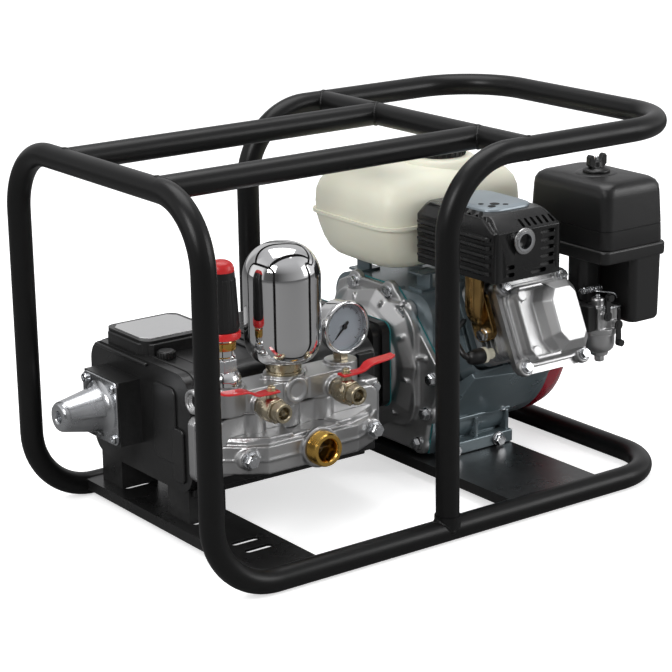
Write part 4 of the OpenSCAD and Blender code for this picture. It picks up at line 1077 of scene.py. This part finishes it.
print("bottle %.0f mm high, %.0f mm across" % (bottle_high.z - bottle_low.z, 2 * bottle_r))

# %% [markdown]
# ## Pressure regulator
# A plated stack with a spanner nut carries a tall tapered knob. The knob is black with raised
# grip ribs, and has a red ring at its foot and a red cap on top.

# %% Regulator stack and knob
stack_x, stack_y = middle("regulator_body").x, middle("regulator_body").y
stack_low, _ = span("regulator_body")
stack_at = at(stack_x, stack_y)
stack = bmesh.new()
add_turned(stack, [(0, stack_low.z), (6.9, stack_low.z), (6.9, 181), (15.9, 181.2), (18.4, 184),
                   (18.9, 188),
                   (17.6, 193), (15.4, 196.4), (13.6, 198), (13.6, 199), (0, 199)], stack_at, 56)
add_turned(stack, [(0, 211), (13.2, 211), (13.2, 213.4), (11.9, 214.4), (11.9, 232.6), (6, 232.8),
                   (6, 247.6), (0, 247.6)],
           stack_at, 48)
stack_piece = crisp("regulator_stack", stack, 32)
place(stack_piece, chrome, "regulator_body")
nut = bmesh.new()
add_turned(nut, [(0, 198), (14.6, 198), (15.5, 199), (15.5, 210.6), (14.6, 211.6), (0, 211.6)],
           stack_at, 6)
place(soft("regulator_nut", nut, 0.4, 2), zinc, body=FIXED, slot="zinc_steel")
collar = bmesh.new()
add_turned(collar, [(11, 221), (13.6, 221), (13.9, 221.6), (13.9, 229), (13.3, 229.8),
                    (11, 229.8)], stack_at, 48)
place(crisp("regulator_brass_collar", collar, 32), brass, body=FIXED, slot="brass")

knob_low, knob_high = span("regulator_knob")
knob_body = body_of_node["regulator_knob"]
hollow = [(6.15, 248.2), (6.15, 235.8), (12.4, 235.6), (12.4, knob_low.z + 1)]
knob = bmesh.new()
add_turned(knob, hollow + [(17.0, 240.5), (17.4, 242), (16.6, 262), (15.4, 284), (14.2, 303),
                           (12.0, 303.6), (0, 303.6), (0, 248.2)],
           stack_at, 64)
place(crisp("regulator_knob_body", knob, 35), knob_black, "regulator_knob")
ring = bmesh.new()
add_turned(ring, [(12.45, knob_low.z), (18.3, knob_low.z), (19.0, knob_low.z + 0.8),
                  (19.0, knob_low.z + 6.4),
                  (18.2, knob_low.z + 7.6), (12.45, knob_low.z + 7.6)], stack_at, 64)
place(crisp("regulator_knob_ring", ring, 35), cap_red, body=knob_body, slot="lever_red")
red_cap = bmesh.new()
cap_outline = [(0, 303), (13.9, 303), (14.1, 304), (13.9, 306.2)]
for step in range(1, 9):
    angle = math.pi / 2 * step / 8
    cap_outline.append((13.6 * math.cos(angle) ** 0.8 if step < 8 else 0.0,
                        306.2 + (knob_high.z - 306.2) * math.sin(angle)))
add_turned(red_cap, cap_outline, stack_at, 56)
place(crisp("regulator_knob_cap", red_cap, 45), cap_red, body=knob_body, slot="lever_red")
flute = bmesh.new()
add_plate(flute, round_rect(4.6, 6.2, 1.3, 3), 0, 52)
flute_piece = soft("grip_flute", flute, 0.8, 2)
lean = math.atan2(17.2 - 14.0, 60)
flute_places = around(Z_AXIS, (stack_x, stack_y, 244), 15.6, 10, tilt=-lean)
place(stamp("regulator_knob_flutes", flute_piece, flute_places, knob_black), knob_black,
      body=knob_body, slot="knob_black")
print("knob from", round(knob_low.z), "to", round(knob_high.z))

# %% [markdown]
# ## Pressure gauge
# Case and bezel are one turned piece. Dial, divisions, needle and glass are separate, as on the real
# gauge, so the needle can turn between dial and glass. The divisions are stamped round an arc of
# 270 degrees and carry no lettering.

# %% Gauge
gauge_at = middle("gauge_dial")
case_in, case_out = span("gauge_case")
look = facing((0, -1, 0), (gauge_at.x, 0, gauge_at.z))
gauge_r = (case_out.x - case_in.x) / 2
back_y, face_y = -case_out.y, -case_in.y
dial_low, dial_high = span("gauge_dial")
gauge = bmesh.new()
add_turned(gauge, [(0, back_y), (gauge_r - 6, back_y), (gauge_r - 2.6, back_y + 2.6),
                   (gauge_r - 1.6, back_y + 6),
                   (gauge_r - 1.6, face_y - 8), (gauge_r - 0.4, face_y - 7),
                   (gauge_r, face_y - 5.4),
                   (gauge_r, face_y - 2.4), (gauge_r - 0.8, face_y - 0.6), (gauge_r - 2.0, face_y),
                   (gauge_r - 3.2, face_y - 0.3), (gauge_r - 4.0, face_y - 1.4),
                   (gauge_r - 4.0, -dial_high.y - 0.05),
                   (0, -dial_high.y - 0.05)], look, 96)
place(crisp("gauge_case_pressed", gauge, 40), chrome, "gauge_case")
gauge_foot = at(gauge_at.x, -58)
stub = bmesh.new()
add_turned(stub, [(0, 176.5), (5, 176.5), (5, 182), (0, 182)], gauge_foot, 24)
add_turned(stub, [(0, 182), (8.2, 182), (8.6, 182.5), (8.6, 189.4), (8.1, 190), (6, 190), (6, 194),
                  (0, 194)],
           gauge_foot, 6)
place(soft("gauge_stub", stub, 0.25, 2), nickel, body=FIXED, slot="chrome_plate")
dial = bmesh.new()
add_turned(dial, [(1.6, -dial_high.y), (24.9, -dial_high.y), (24.9, -dial_low.y),
                  (1.6, -dial_low.y)], look, 72)
place(crisp("gauge_dial_plate", dial, 35), dial_white, "gauge_dial")


def dial_marks(name, count, width, long, radius):
    """Divisions round 270 degrees of the dial."""
    mark = bmesh.new()
    add_box(mark, (-long / 2, -width / 2, 0), (long / 2, width / 2, 0.15))
    places = []
    for step in range(count):
        angle = math.radians(-45 + 270 * step / (count - 1))
        places.append(look @ Matrix.Rotation(angle, 4, "Z") @ at(radius, 0, -dial_low.y))
    marks = stamp(name, as_object("mark", mark), places, ink_black)
    return place(marks, ink_black, body=FIXED, slot="needle_black")


dial_marks("gauge_marks_fine", 51, 0.35, 1.8, 21.6)
dial_marks("gauge_marks_bold", 11, 0.7, 3.4, 20.9)
needle = bmesh.new()
pointer = [(-17.2, -0.35), (-17.2, 0.35), (-3, 1.0), (0, 1.7), (5, 1.6), (7, 1.0), (7, -1.0),
           (5, -1.6), (0, -1.7), (-3, -1.0)]
swing = look @ Matrix.Rotation(math.radians(45), 4, "Z")
add_plate(needle, pointer, -dial_low.y + 0.7, -dial_low.y + 1.5, swing)
add_turned(needle, [(0, -dial_high.y + 0.3), (1.5, -dial_high.y + 0.3), (1.5, -dial_low.y + 0.6),
                    (3, -dial_low.y + 0.8), (3, -dial_low.y + 2.0),
                    (2.4, -dial_low.y + 2.6), (0, -dial_low.y + 2.6)], look, 28)
needle_piece = crisp("gauge_pointer", needle, 35)
place(needle_piece, ink_black, "gauge_needle")
glass_low, glass_high = span("gauge_lens")
glass = bmesh.new()
add_turned(glass, [(0, -glass_high.y), (24.9, -glass_high.y), (24.9, -glass_low.y - 0.6),
                   (18, -glass_low.y - 0.15), (10, -glass_low.y - 0.03), (0, -glass_low.y)],
           look, 72)
place(crisp("gauge_window", glass, 35), lens_glass, "gauge_lens")
print("gauge %.0f mm across" % (2 * gauge_r))
# %% [markdown]
# ## Lofts and the tilted cylinder
# Moulded parts change their outline as they rise, so a loft joins outlines with the same number
# of points. The cylinder leans 25 degrees above the floor, and one matrix holds that lean, so
# that everything bolted to it can be drawn upright and laid over afterwards.

# %% Loft helper and the cylinder's own frame


def add_loft(bm, rows, matrix=Matrix()):
    """Join (outline, height) rows of equal count and close both ends."""
    rings = [[bm.verts.new(matrix @ Vector((x, y, level))) for x, y in outline] for outline,
             level in rows]
    bm.faces.new(rings[0][::-1])
    bm.faces.new(rings[-1])
    for low, high in zip(rings, rings[1:]):
        for step in range(len(low)):
            after = (step + 1) % len(low)
            bm.faces.new((low[step], low[after], high[after], high[step]))


def swollen(wide, high, power, steps=96, cx=0.0, cy=0.0):
    """A superellipse: the outline of a blow-moulded box."""
    points = []
    for step in range(steps):
        angle = 2 * math.pi * step / steps
        c, s = math.cos(angle), math.sin(angle)
        points.append((cx + math.copysign(wide / 2 * abs(c) ** (2 / power), c),
                       cy + math.copysign(high / 2 * abs(s) ** (2 / power), s)))
    return points


bore = at(172.0, 72.0, 128.0) @ Matrix.Rotation(math.radians(65), 4, "X")
crank_y, crank_z = 72.0, 128.0
# lays an outline of (y, z) points on its side, its thickness along X
ON_SIDE = Matrix(((0, 0, 1, 0), (1, 0, 0, 0), (0, 1, 0, 0), (0, 0, 0, 1)))
# turns a part on the cylinder to face the pump
TO_PUMP = Matrix.Rotation(math.radians(-90), 4, "Y")
print("the bore points along", [round(v, 2) for v in (bore.to_3x3() @ Z_AXIS)])

# %% [markdown]
# ## Crankcase and covers
# The crankcase is painted, its side cover is bare die casting. Ribs and bolt bosses melt into
# the cover's skin, and a thin teal gasket shows at each joint.

# %% Crankcase, side cover, gaskets and bolts
case_cast = soft("engine_crankcase_cast", cad_copy("engine_crankcase"), 0.8, 2)
place(case_cast, blue_paint, "engine_crankcase")
ledges = bmesh.new()
add_box(ledges, (97, -23.5, 60), (201, -19, 65))
add_box(ledges, (97, -22.5, 96), (150, -19, 99))
add_box(ledges, (97, -28, 22.3), (201, -12, 37))
for ledge_x in (104, 150, 196):
    add_box(ledges, (ledge_x - 2.5, -24, 36), (ledge_x + 2.5, -12, 61))
add_loft(ledges, [([(-20, 70), (-26, 78), (-44, 99), (-65, 125), (-60, 130), (-40, 116),
                    (-18, 104)], 112),
                  ([(-20, 58), (-28, 68), (-48, 92), (-70, 121), (-62, 130), (-40, 116),
                    (-18, 104)], 172),
                  ([(-20, 62), (-27, 72), (-46, 95), (-68, 122), (-62, 130), (-40, 116),
                    (-18, 104)], 232)],
         ON_SIDE)
place(soft("crankcase_ledges", ledges, 2.0, 3, 25), blue_paint, body=FIXED, slot="blue_grey_paint")

cover_bolts = [(-30, 122), (20, 190), (52, 207), (116, 207), (156, 158), (158, 72), (146, 38),
               (-2, 38), (-18, 78)]
side = cad_copy("engine_side_cover")
for bolt_y, bolt_z in cover_bolts:
    add_turned(side, [(8.6, 80.5), (12.5, 80.5), (13.6, 87.6), (8.6, 87.6)],
               facing((1, 0, 0), (0, bolt_y, bolt_z)), 28)
dish = facing((1, 0, 0), (0, crank_y, crank_z), 0.3)
add_turned(side, [(46, 74), (82, 74), (84, 71), (70, 62.5), (60, 60), (46, 60)], dish, 9)
add_turned(side, [(28, 55), (57, 55), (59, 57), (59, 70), (28, 70)], dish, 64)
for rib_angle in (35, 80, 130, 205, 250, 300):
    arm = at(0, crank_y, crank_z) @ Matrix.Rotation(math.radians(rib_angle), 4, "X")
    add_plate(side, [(70, 56), (80, 56), (80, 94), (76, 94)], -2.4, 2.4,
              arm @ Matrix(((1, 0, 0, 0), (0, 0, 1, 0), (0, 1, 0, 0), (0, 0, 0, 1))))
place(cast_skin(as_object("engine_side_casting", side), 1.3, 5, 0.45), bright_cast,
      "engine_side_cover")
side_bolts = stamp("side_cover_bolt_heads", hex_bolt(12, 7.5, 16),
                   [facing((-1, 0, 0), (80.3, y, z), 0.4 * y) for y, z in cover_bolts], zinc,
                   scatter=0.02)
place(side_bolts, zinc, "side_cover_bolts")

plan = [(-12, 28), (158, 28), (168, 68), (168, 148), (148, 202), (122, 214), (42, 214), (8, 186),
        (-40, 134), (-40, 112), (-20, 68)]
gaskets = bmesh.new()
add_plate(gaskets, [(64 + 1.007 * (y - 64), 121 + 1.007 * (z - 121)) for y, z in plan], 87.4, 88.5,
          ON_SIDE)
add_plate(gaskets, round_rect(149.4, 101.2, 12, 6), 0, 1.2, facing((1, 0, 0), (54.4, 90, 132)))
place(as_object("joint_gaskets", gaskets), gasket_teal, body=FIXED, slot="blue_grey_paint")
foot_bolts = stamp("crankcase_bolts", hex_bolt(12, 8, 17),
                   [facing((0, -1, 0), (178, -28, 30)), facing((0, 0, 1), (190, -17, 61)),
                    facing((0, -1, 0), (112, -28, 30))], zinc)
place(foot_bolts, zinc, body=FIXED, slot="zinc_steel")
print("engine castings and", len(cover_bolts), "cover bolts")

# %% [markdown]
# ## Cylinder head and valve cover
# The valve cover has four bolted ears, a sunken pocket towards the pump and a raised block with
# sloping facets. Its face is left plain. Where the spark plug sits, and its lead, are a guess.

# %% Head, valve cover and spark plug
place(soft("cylinder_head_cast", cad_copy("cylinder_head"), 0.7, 2), cast_grey, "cylinder_head")
ears = [(sx * 42, -20 + sy * 46) for sx in (-1, 1) for sy in (-1, 1)]
lid = bmesh.new()
add_plate(lid, round_rect(90, 94, 20, 8, 0, -20), 188.2, 193.4, bore)
for ear_x, ear_y in ears:
    add_turned(lid, [(0, 188.2), (9.6, 188.2), (9.6, 194.6), (8.6, 195.4), (0, 195.4)],
               bore @ at(ear_x, ear_y), 32)
add_loft(lid, [(round_rect(84, 86, 16, 6, 0, -20), 192), (round_rect(81, 83, 15, 6, 0, -20), 201)],
         bore)
for low, high in (((-40, -50, 198), (-36.4, 10, 209)), ((-38, 17.6, 198), (-4, 21.6, 214)),
                  ((-38, -61.6, 198), (-4, -57.6, 214))):
    bar = [(low[0], low[1]), (high[0], low[1]), (high[0], high[1]), (low[0], high[1])]
    add_plate(lid, bar, low[2], high[2], bore)
for corner_y in (12, -52):
    add_turned(lid, [(0, 198), (7.5, 198), (6.5, 211), (0, 211)], bore @ at(-33, corner_y), 20)
block_low = [(-15, -42), (-5, -61), (33, -61), (40.5, -52), (40.5, 12), (33, 21.5), (-5, 21.5),
             (-15, 2)]
block_mid = [(-11, -40), (-2, -59), (32, -59), (39, -50), (39, 10), (32, 19.5), (-2, 19.5),
             (-11, 0)]
block_top = [(-5, -38), (3, -50), (25, -50), (31, -43), (31, 3), (25, 10.5), (3, 10.5), (-5, -2)]
add_loft(lid, [(block_low, 199), (block_mid, 214), (block_top, 224)], bore)
place(cast_skin(as_object("valve_cover_cast", lid), 0.85, 4, 0.5), bright_cast, "valve_cover")
lid_bolts = stamp("valve_cover_bolts", hex_bolt(10, 6, 14.5),
                  [bore @ at(x, y, 195.2) @ Matrix.Rotation(x * y, 4, "Z") for x, y in ears], zinc)
place(lid_bolts, zinc, body=FIXED, slot="zinc_steel")
place(soft("cylinder_shroud_pressed", cad_copy("cylinder_shroud"), 0.8, 2), blue_paint,
      "cylinder_shroud")
plug_at = bore @ at(-49.3, -39, 152) @ TO_PUMP
plug = bmesh.new()
add_turned(plug, [(0, 0), (6, 0), (6, 10), (9, 10), (9, 16), (6.4, 16), (5.6, 22), (5.2, 28),
                  (0, 29)], plug_at, 28)
place(crisp("spark_plug_body", plug, 32), ivory, "spark_plug")
lead = bmesh.new()
add_turned(lead, [(6.5, 12), (8.8, 12.4), (9.2, 17), (8.8, 25), (7.4, 32), (4.2, 35), (0, 35),
                  (0, 29), (5.3, 28), (6.4, 20)], plug_at, 28)
start = plug_at @ Vector((0, 0, 33))
add_path(lead, smooth_path([start, start + Vector((-6, 4, 6)), start + Vector((-2, 22, 20)),
                            start + Vector((22, 42, 26)), start + Vector((52, 56, 30))], 8), 3.4,
         12)
place(crisp("spark_plug_lead", lead, 60), knob_black, body=FIXED, slot="box_black")
print("valve cover ears:", len(ears))

# %% [markdown]
# ## Exhaust
# A heat-tinted pipe climbs from the head into the muffler. The shield round the muffler is
# pressed sheet with a bevelled roof, louvres on the side, slots on the front and a ringed outlet.

# %% Exhaust pipe, muffler shield and its pressings
pipe = bmesh.new()
add_path(pipe, smooth_path([(125, -66, 197), (117, -66, 198), (111, -67, 205), (109, -68, 218),
                            (110, -67, 238),
                            (110, -66, 256)], 8), 10.8, 28)
place(crisp("exhaust_pipe_bent", pipe, 60), bronze, "exhaust_pipe")
flange = bmesh.new()
add_plate(flange, round_rect(34, 58, 12, 8), -3, 3.5,
          bore @ at(-51, 4, 154) @ TO_PUMP)
place(soft("exhaust_flange", flange, 0.7, 2), bronze, body=FIXED, slot="exhaust_bronze")
flange_nuts = stamp("exhaust_nuts", hex_bolt(12, 7, 15),
                    [bore @ at(-54.5, 4 + s * 21, 154) @ TO_PUMP
                     for s in (-1, 1)], zinc)
place(flange_nuts, zinc, body=FIXED, slot="zinc_steel")

guard = bmesh.new()
add_loft(guard, [(round_rect(96, 138, 6, 4, 132, -63), 252),
                 (round_rect(96, 138, 6, 4, 132, -63), 307),
                 (round_rect(90, 112, 10, 4, 132, -58), 319),
                 (round_rect(84, 104, 10, 4, 132, -56), 322)])
guard_piece = soft("muffler_guard", guard, 1.4, 3, 18)
holes = bmesh.new()
to_front = facing((0, -1, 0))
outlet_at = to_front @ at(124, 295)
for slot_z in (301, 292, 283, 274, 265):
    add_plate(holes, round_rect(21, 4.6, 2.2, 4, 159, slot_z), 127, 140, to_front)
add_plate(holes, round_rect(22, 5, 2.4, 4, 146, 258.5), 127, 140, to_front)
for hole_z in (268, 259.5):
    add_plate(holes, round_rect(12, 5, 2.4, 4, 106, hole_z), 127, 140, to_front)
add_turned(holes, [(0, 128), (11.6, 128), (11.6, 140), (0, 140)], outlet_at, 40)
slope = at(0, -124.5, 313) @ Matrix.Rotation(math.radians(52), 4, "X")
for step in range(6):
    add_plate(holes, round_rect(4.2, 12, 2.0, 4, 128 + 8.5 * step, 0), -4, 8, slope)
for step in range(5):
    add_plate(holes, round_rect(5, 9, 2.2, 4, 91, -110 + 13 * step), 300, 330)
guard_piece = shade(cut(guard_piece, as_object("guard_holes", holes)), 32)
place(guard_piece, shield_black, "muffler_shield")
louvre = bmesh.new()
add_loft(louvre, [(round_rect(52, 6.4, 2.4, 4), -0.5), (round_rect(51, 5.4, 2.0, 4, 0, 0.4), 3.4),
                  (round_rect(49, 3.0, 1.2, 4, 0, 1.2), 5.2)])
louvre_places = [facing((-1, 0, 0), (84.2, y, 262 + 9.4 * row)) for y in (-97,
                                                                          -28) for row in range(5)]
louvres = stamp("muffler_guard_louvres", crisp("louvre", louvre, 40), louvre_places, shield_black)
place(louvres, shield_black, body=FIXED, slot="shield_black")
ring = bmesh.new()
add_turned(ring, [(8.8, 126), (11.2, 126), (11.2, 133.2), (14.2, 133.2), (14.6, 134), (14.2, 135),
                  (10.6, 135.4),
                  (9.4, 134.6), (8.8, 133)], outlet_at, 56)
place(crisp("muffler_outlet_ring", ring, 32), machined, body=FIXED, slot="machined_steel")
pad = bmesh.new()
add_loft(pad, [(round_rect(70, 92, 18, 8, 138, -52), 320),
               (round_rect(68, 90, 18, 8, 138, -52), 324),
               (round_rect(58, 80, 16, 8, 138, -52), 326)])
place(soft("muffler_roof_pad", pad, 1.2, 3, 18), pad_grey, body=FIXED, slot="blue_grey_paint")
# The roof holes are not cut. Near-black discs sit in their place as painted shade for the dark inside of
# each hole.
dots = bmesh.new()
for dot_x, dot_y, dot_r in ((118, -86, 4.5), (128, -79, 5.5), (136, -88, 3.2), (116, -70, 3.2)):
    add_turned(dots, [(0, 322), (dot_r, 322), (dot_r, 326.3), (0, 326.3)], at(dot_x, dot_y), 24)
place(crisp("muffler_roof_holes", dots, 32), hole_shade, body=FIXED, slot="shield_black")
print("louvres:", len(louvre_places))

# %% [markdown]
# ## Fuel tank
# The tank is blown plastic: no flat side is quite flat, the bottom draws in, and a welded seam
# runs round the middle. Superellipses stacked at different heights give that shape.

# %% Fuel tank and filler cap
tank_rows = [(233, 60, 3.0), (233.4, 40, 3.6), (235.5, 27, 4.2), (240, 18, 4.8), (247, 12, 5.2),
             (258, 7.5, 5.6),
             (272, 4, 6.0), (284, 1.6, 6.2), (287, 1.2, 6.2), (287.2, -1.4, 6.4),
             (290.8, -1.4, 6.4), (291, 1.2, 6.2),
             (300, 0.8, 6.2), (314, 1.4, 6.0), (324, 4, 5.6), (332, 9, 5.2), (338, 16, 4.8),
             (342, 25, 4.4),
             (344, 36, 4.0), (345, 52, 3.4)]
tank = bmesh.new()
add_loft(tank, [(swollen(208 - 2 * inset, 165 - 2 * inset, power, 120, 154, 91.5), level)
                for level, inset, power in tank_rows])
place(crisp("fuel_tank_moulded", tank, 50), tank_cream, "fuel_tank")
cap_at = at(176, 76)
boss = bmesh.new()
add_turned(boss, [(0, 325), (52, 325), (47.5, 338), (44.5, 343.6), (42, 347.6), (39, 350.2),
                  (35, 351), (0, 351)],
           cap_at, 96)
place(crisp("fuel_tank_boss", boss, 70), tank_cream, body=FIXED, slot="tank_cream")
fuel_cap = bmesh.new()
add_turned(fuel_cap, [(0, 344), (21.5, 344), (21.5, 351.4), (29.2, 351.5), (29.2, 361.4),
                      (27.6, 363.8), (24, 364.6),
                      (10, 365), (0, 365)], cap_at, 72)
place(crisp("fuel_cap_moulded", fuel_cap, 40), knob_black, "fuel_cap")
rib = bmesh.new()
add_rod(rib, 1.5, (0, 0, 0), (0, 0, 10), 8, 0.5)
cap_ribs = stamp("fuel_cap_ribs", crisp("cap_rib", rib), around(Z_AXIS, (176, 76, 352), 29.0, 28),
                 knob_black)
place(cap_ribs, knob_black, body=body_of_node["fuel_cap"], slot="knob_black")
print("tank loops:", len(tank_rows))

# %% [markdown]
# ## Air cleaner
# The cover is a crowned moulding that widens a little towards its skirt, closed by a wing nut
# on a round boss. The box below it hangs outside the carburettor.

# %% Air cleaner cover, base and wing nut
lid_rows = [(268.3, 91, 131, 12), (270, 92, 132, 12), (289, 91, 131, 12), (289.3, 89.6, 129.6, 12),
            (290.3, 89.6, 129.6, 12), (290.6, 91, 131, 12), (326, 88, 128, 12.5),
            (333, 86.6, 126.6, 13),
            (338, 82, 122, 14), (341, 74, 114, 15), (342.4, 58, 98, 16), (342.8, 30, 60, 14)]
cover = bmesh.new()
add_loft(cover, [(round_rect(w, h, r, 8, 274.5, -83.5), level) for level, w, h, r in lid_rows])
cover_piece = crisp("air_cleaner_lid", cover, 40)
place(cover_piece, box_black, "air_cleaner_cover")
wing_at = at(272, -86)
hub = bmesh.new()
add_turned(hub, [(0, 338), (27, 338), (25.5, 341.8), (23.4, 343.2), (19, 343.6), (0, 343.6)],
           wing_at, 64)
place(crisp("air_cleaner_hub", hub, 50), box_black, body=body_of_node["air_cleaner_cover"],
      slot="box_black")
base = bmesh.new()
add_loft(base, [(round_rect(96, 133, 9, 6, 275, -83.5), 253),
                (round_rect(97, 134, 9, 6, 275, -83.5), 257),
                (round_rect(97, 134, 9, 6, 275, -83.5), 266),
                (round_rect(94, 131, 9, 6, 275, -83.5), 268)])
add_loft(base, [(round_rect(40, 65, 8, 6, 295, -113.5), 178),
                (round_rect(44, 69, 8, 6, 295, -113.5), 182),
                (round_rect(46, 71, 8, 6, 295, -113.5), 255)])
place(soft("air_cleaner_box", base, 0.9, 3, 25), box_black, "air_cleaner_base")
wing = bmesh.new()
add_turned(wing, [(0, 343.6), (15.6, 343.6), (15.6, 346.4), (12, 348.6), (7.4, 349.6), (6.2, 356),
                  (0, 356)],
           wing_at, 40)
lobe = [(-13, 352), (-13, 361), (-10.4, 364), (-6.8, 363), (-4.6, 357), (4.6, 357), (6.8, 363),
        (10.4, 364), (13, 361),
        (13, 352), (8, 348), (-8, 348)]
add_plate(wing, lobe, -3.4, 3.4, wing_at @ Matrix.Rotation(math.radians(90), 4, "X"))
wing_piece = soft("air_cleaner_wing_nut", wing, 0.9, 3, 35)
place(wing_piece, knob_black, "air_cleaner_knob")
stud = bmesh.new()
add_rod(stud, 2.4, (272, -86, 355), (272, -86, 361), 16, 0.5)
place(crisp("air_cleaner_stud", stud, 32), zinc, body=body_of_node["air_cleaner_knob"],
      slot="zinc_steel")
print("air cleaner rows:", len(lid_rows))

# %% [markdown]
# ## Carburettor and controls
# A small die casting with a round float bowl. Rods, a spring wound as a helix and thin levers
# sit round it. Each lever keeps to its own body, so it turns about its own pivot.

# %% Carburettor, linkage and levers
carb_at = at(250, -120)
carb = bmesh.new()
add_loft(carb, [(round_rect(28, 28, 7, 5, 249, -120), 173),
                (round_rect(29, 29, 8, 5, 249, -120), 199)])
add_box(carb, (234.2, -134, 174), (238, -106, 199))
add_box(carb, (260, -134, 174), (263.8, -106, 199))
add_turned(carb, [(0, 198), (7.6, 198), (7.6, 206), (6.6, 208), (0, 208)], at(246, -120), 28)
add_turned(carb, [(0, 167.6), (18.8, 167.6), (18.8, 173.6), (0, 173.6)], carb_at, 48)
for pivot_x, pivot_z in ((242, 191), (259, 178)):
    add_turned(carb, [(2.7, 128), (5, 128), (5, 139.8), (2.7, 139.8)],
               to_front @ at(pivot_x, pivot_z), 20)
place(cast_skin(as_object("carburettor_cast", carb), 0.6, 3, 0.6), cast_grey, "carburettor")
bowl = bmesh.new()
add_turned(bowl, [(0, 139.5), (7, 139.6), (9.6, 141), (10.4, 145), (13.4, 146.8), (16, 150),
                  (17, 155), (17, 165.6),
                  (18.2, 166.2), (18.2, 168), (0, 168)], carb_at, 64)
add_turned(bowl, [(0, 133), (5.2, 133), (5.8, 133.7), (5.8, 139.8), (0, 139.8)], carb_at, 6)
place(crisp("carburettor_bowl", bowl, 40), bright_cast, body=FIXED, slot="bright_aluminium")
spacer = bmesh.new()
add_box(spacer, (222.4, -131, 173), (234.2, -73, 203))
place(soft("carburettor_spacer", spacer, 1.2, 2), box_black, body=FIXED, slot="box_black")
links = bmesh.new()
add_path(links, [(238, -139, 204), (238, -139, 199), (262, -139, 199), (266, -136, 199)], 1.2, 10)
add_path(links, smooth_path([(242, -104, 214), (250, -118, 214), (262, -128, 212),
                             (268, -128, 206)], 6), 1.1, 10)
coil = []
for step in range(121):
    angle = 2 * math.pi * 10 * step / 120
    coil.append((228 + 30 * step / 120, -112 + 3.2 * math.cos(angle), 216 + 3.2 * math.sin(angle)))
add_path(links, coil, 0.7, 6)
add_rod(links, 3.0, (246, -120, 207), (246, -120, 212), 20, 0.6)
place(crisp("governor_links", links, 50), zinc, body=FIXED, slot="zinc_steel")
place(soft("intake_elbow_moulded", cad_copy("intake_elbow"), 1.4, 3), box_black, "intake_elbow")
for lever_node, lever_finish, width in (("choke_lever", box_black, 0.5),
                                        ("fuel_lever", box_black, 0.5),
                                        ("throttle_lever", blue_paint, 0.6),
                                        ("engine_switch", cap_red, 0.6),
                                        ("oil_dipstick", knob_black, 0.9),
                                        ("starter_grip", knob_black, 1.6)):
    place(soft(lever_node + "_softened", cad_copy(lever_node), width, 2), lever_finish, lever_node)
print("linkage done")

# %% [markdown]
# ## Fan housing and starter
# The housing and the enamelled starter cover keep their CAD shape with broad soft edges, and
# three screws hold the cover on.

# %% Fan housing, starter cover and screws
place(soft("fan_housing_pressed", cad_copy("fan_housing"), 1.0, 2), blue_paint, "fan_housing")
place(soft("recoil_cover_enamelled", cad_copy("recoil_cover"), 0.9, 2), cover_red, "recoil_cover")
cover_screws = stamp("recoil_cover_screws", hex_bolt(8, 5, 12),
                     [facing((1, 0, 0),
                             (274.5, crank_y + 98 * math.cos(a), crank_z + 98 * math.sin(a)))
                      for a in (0.3, 2.4, 4.5)], zinc)
place(cover_screws, zinc, body=FIXED, slot="zinc_steel")
print("pieces so far:", len(finished))


# %% [markdown]
# ## The nodes that stay
# Where the CAD shape is already right, the node keeps it and takes a finish in its slot.

# %% Finishes for the CAD nodes that are still shown
finish_of_slot = {
    "frame_black": tube_black, "plate_black": plate_black, "pump_black": pump_black,
    "cast_aluminium": cast_grey, "bright_aluminium": bright_cast, "blue_grey_paint": blue_paint,
    "chrome_plate": chrome, "zinc_steel": zinc, "machined_steel": machined, "brass": brass,
    "nickel_brass": nickel, "lever_red": lever_red, "cover_red": cover_red,
    "knob_black": knob_black, "box_black": box_black, "shield_black": shield_black,
    "tank_cream": tank_cream, "blank_plate": blank_plate, "dial_white": dial_white,
    "needle_black": ink_black, "lens": lens_glass, "ceramic": ivory, "exhaust_bronze": bronze}
for node_name, node_object in cad_nodes.items():
    for material_slot in node_object.material_slots:
        material_slot.material = finish_of_slot[slot_of_node[node_name]]
print("pieces made:", len(finished), "nodes given a finish:", len(cad_nodes))
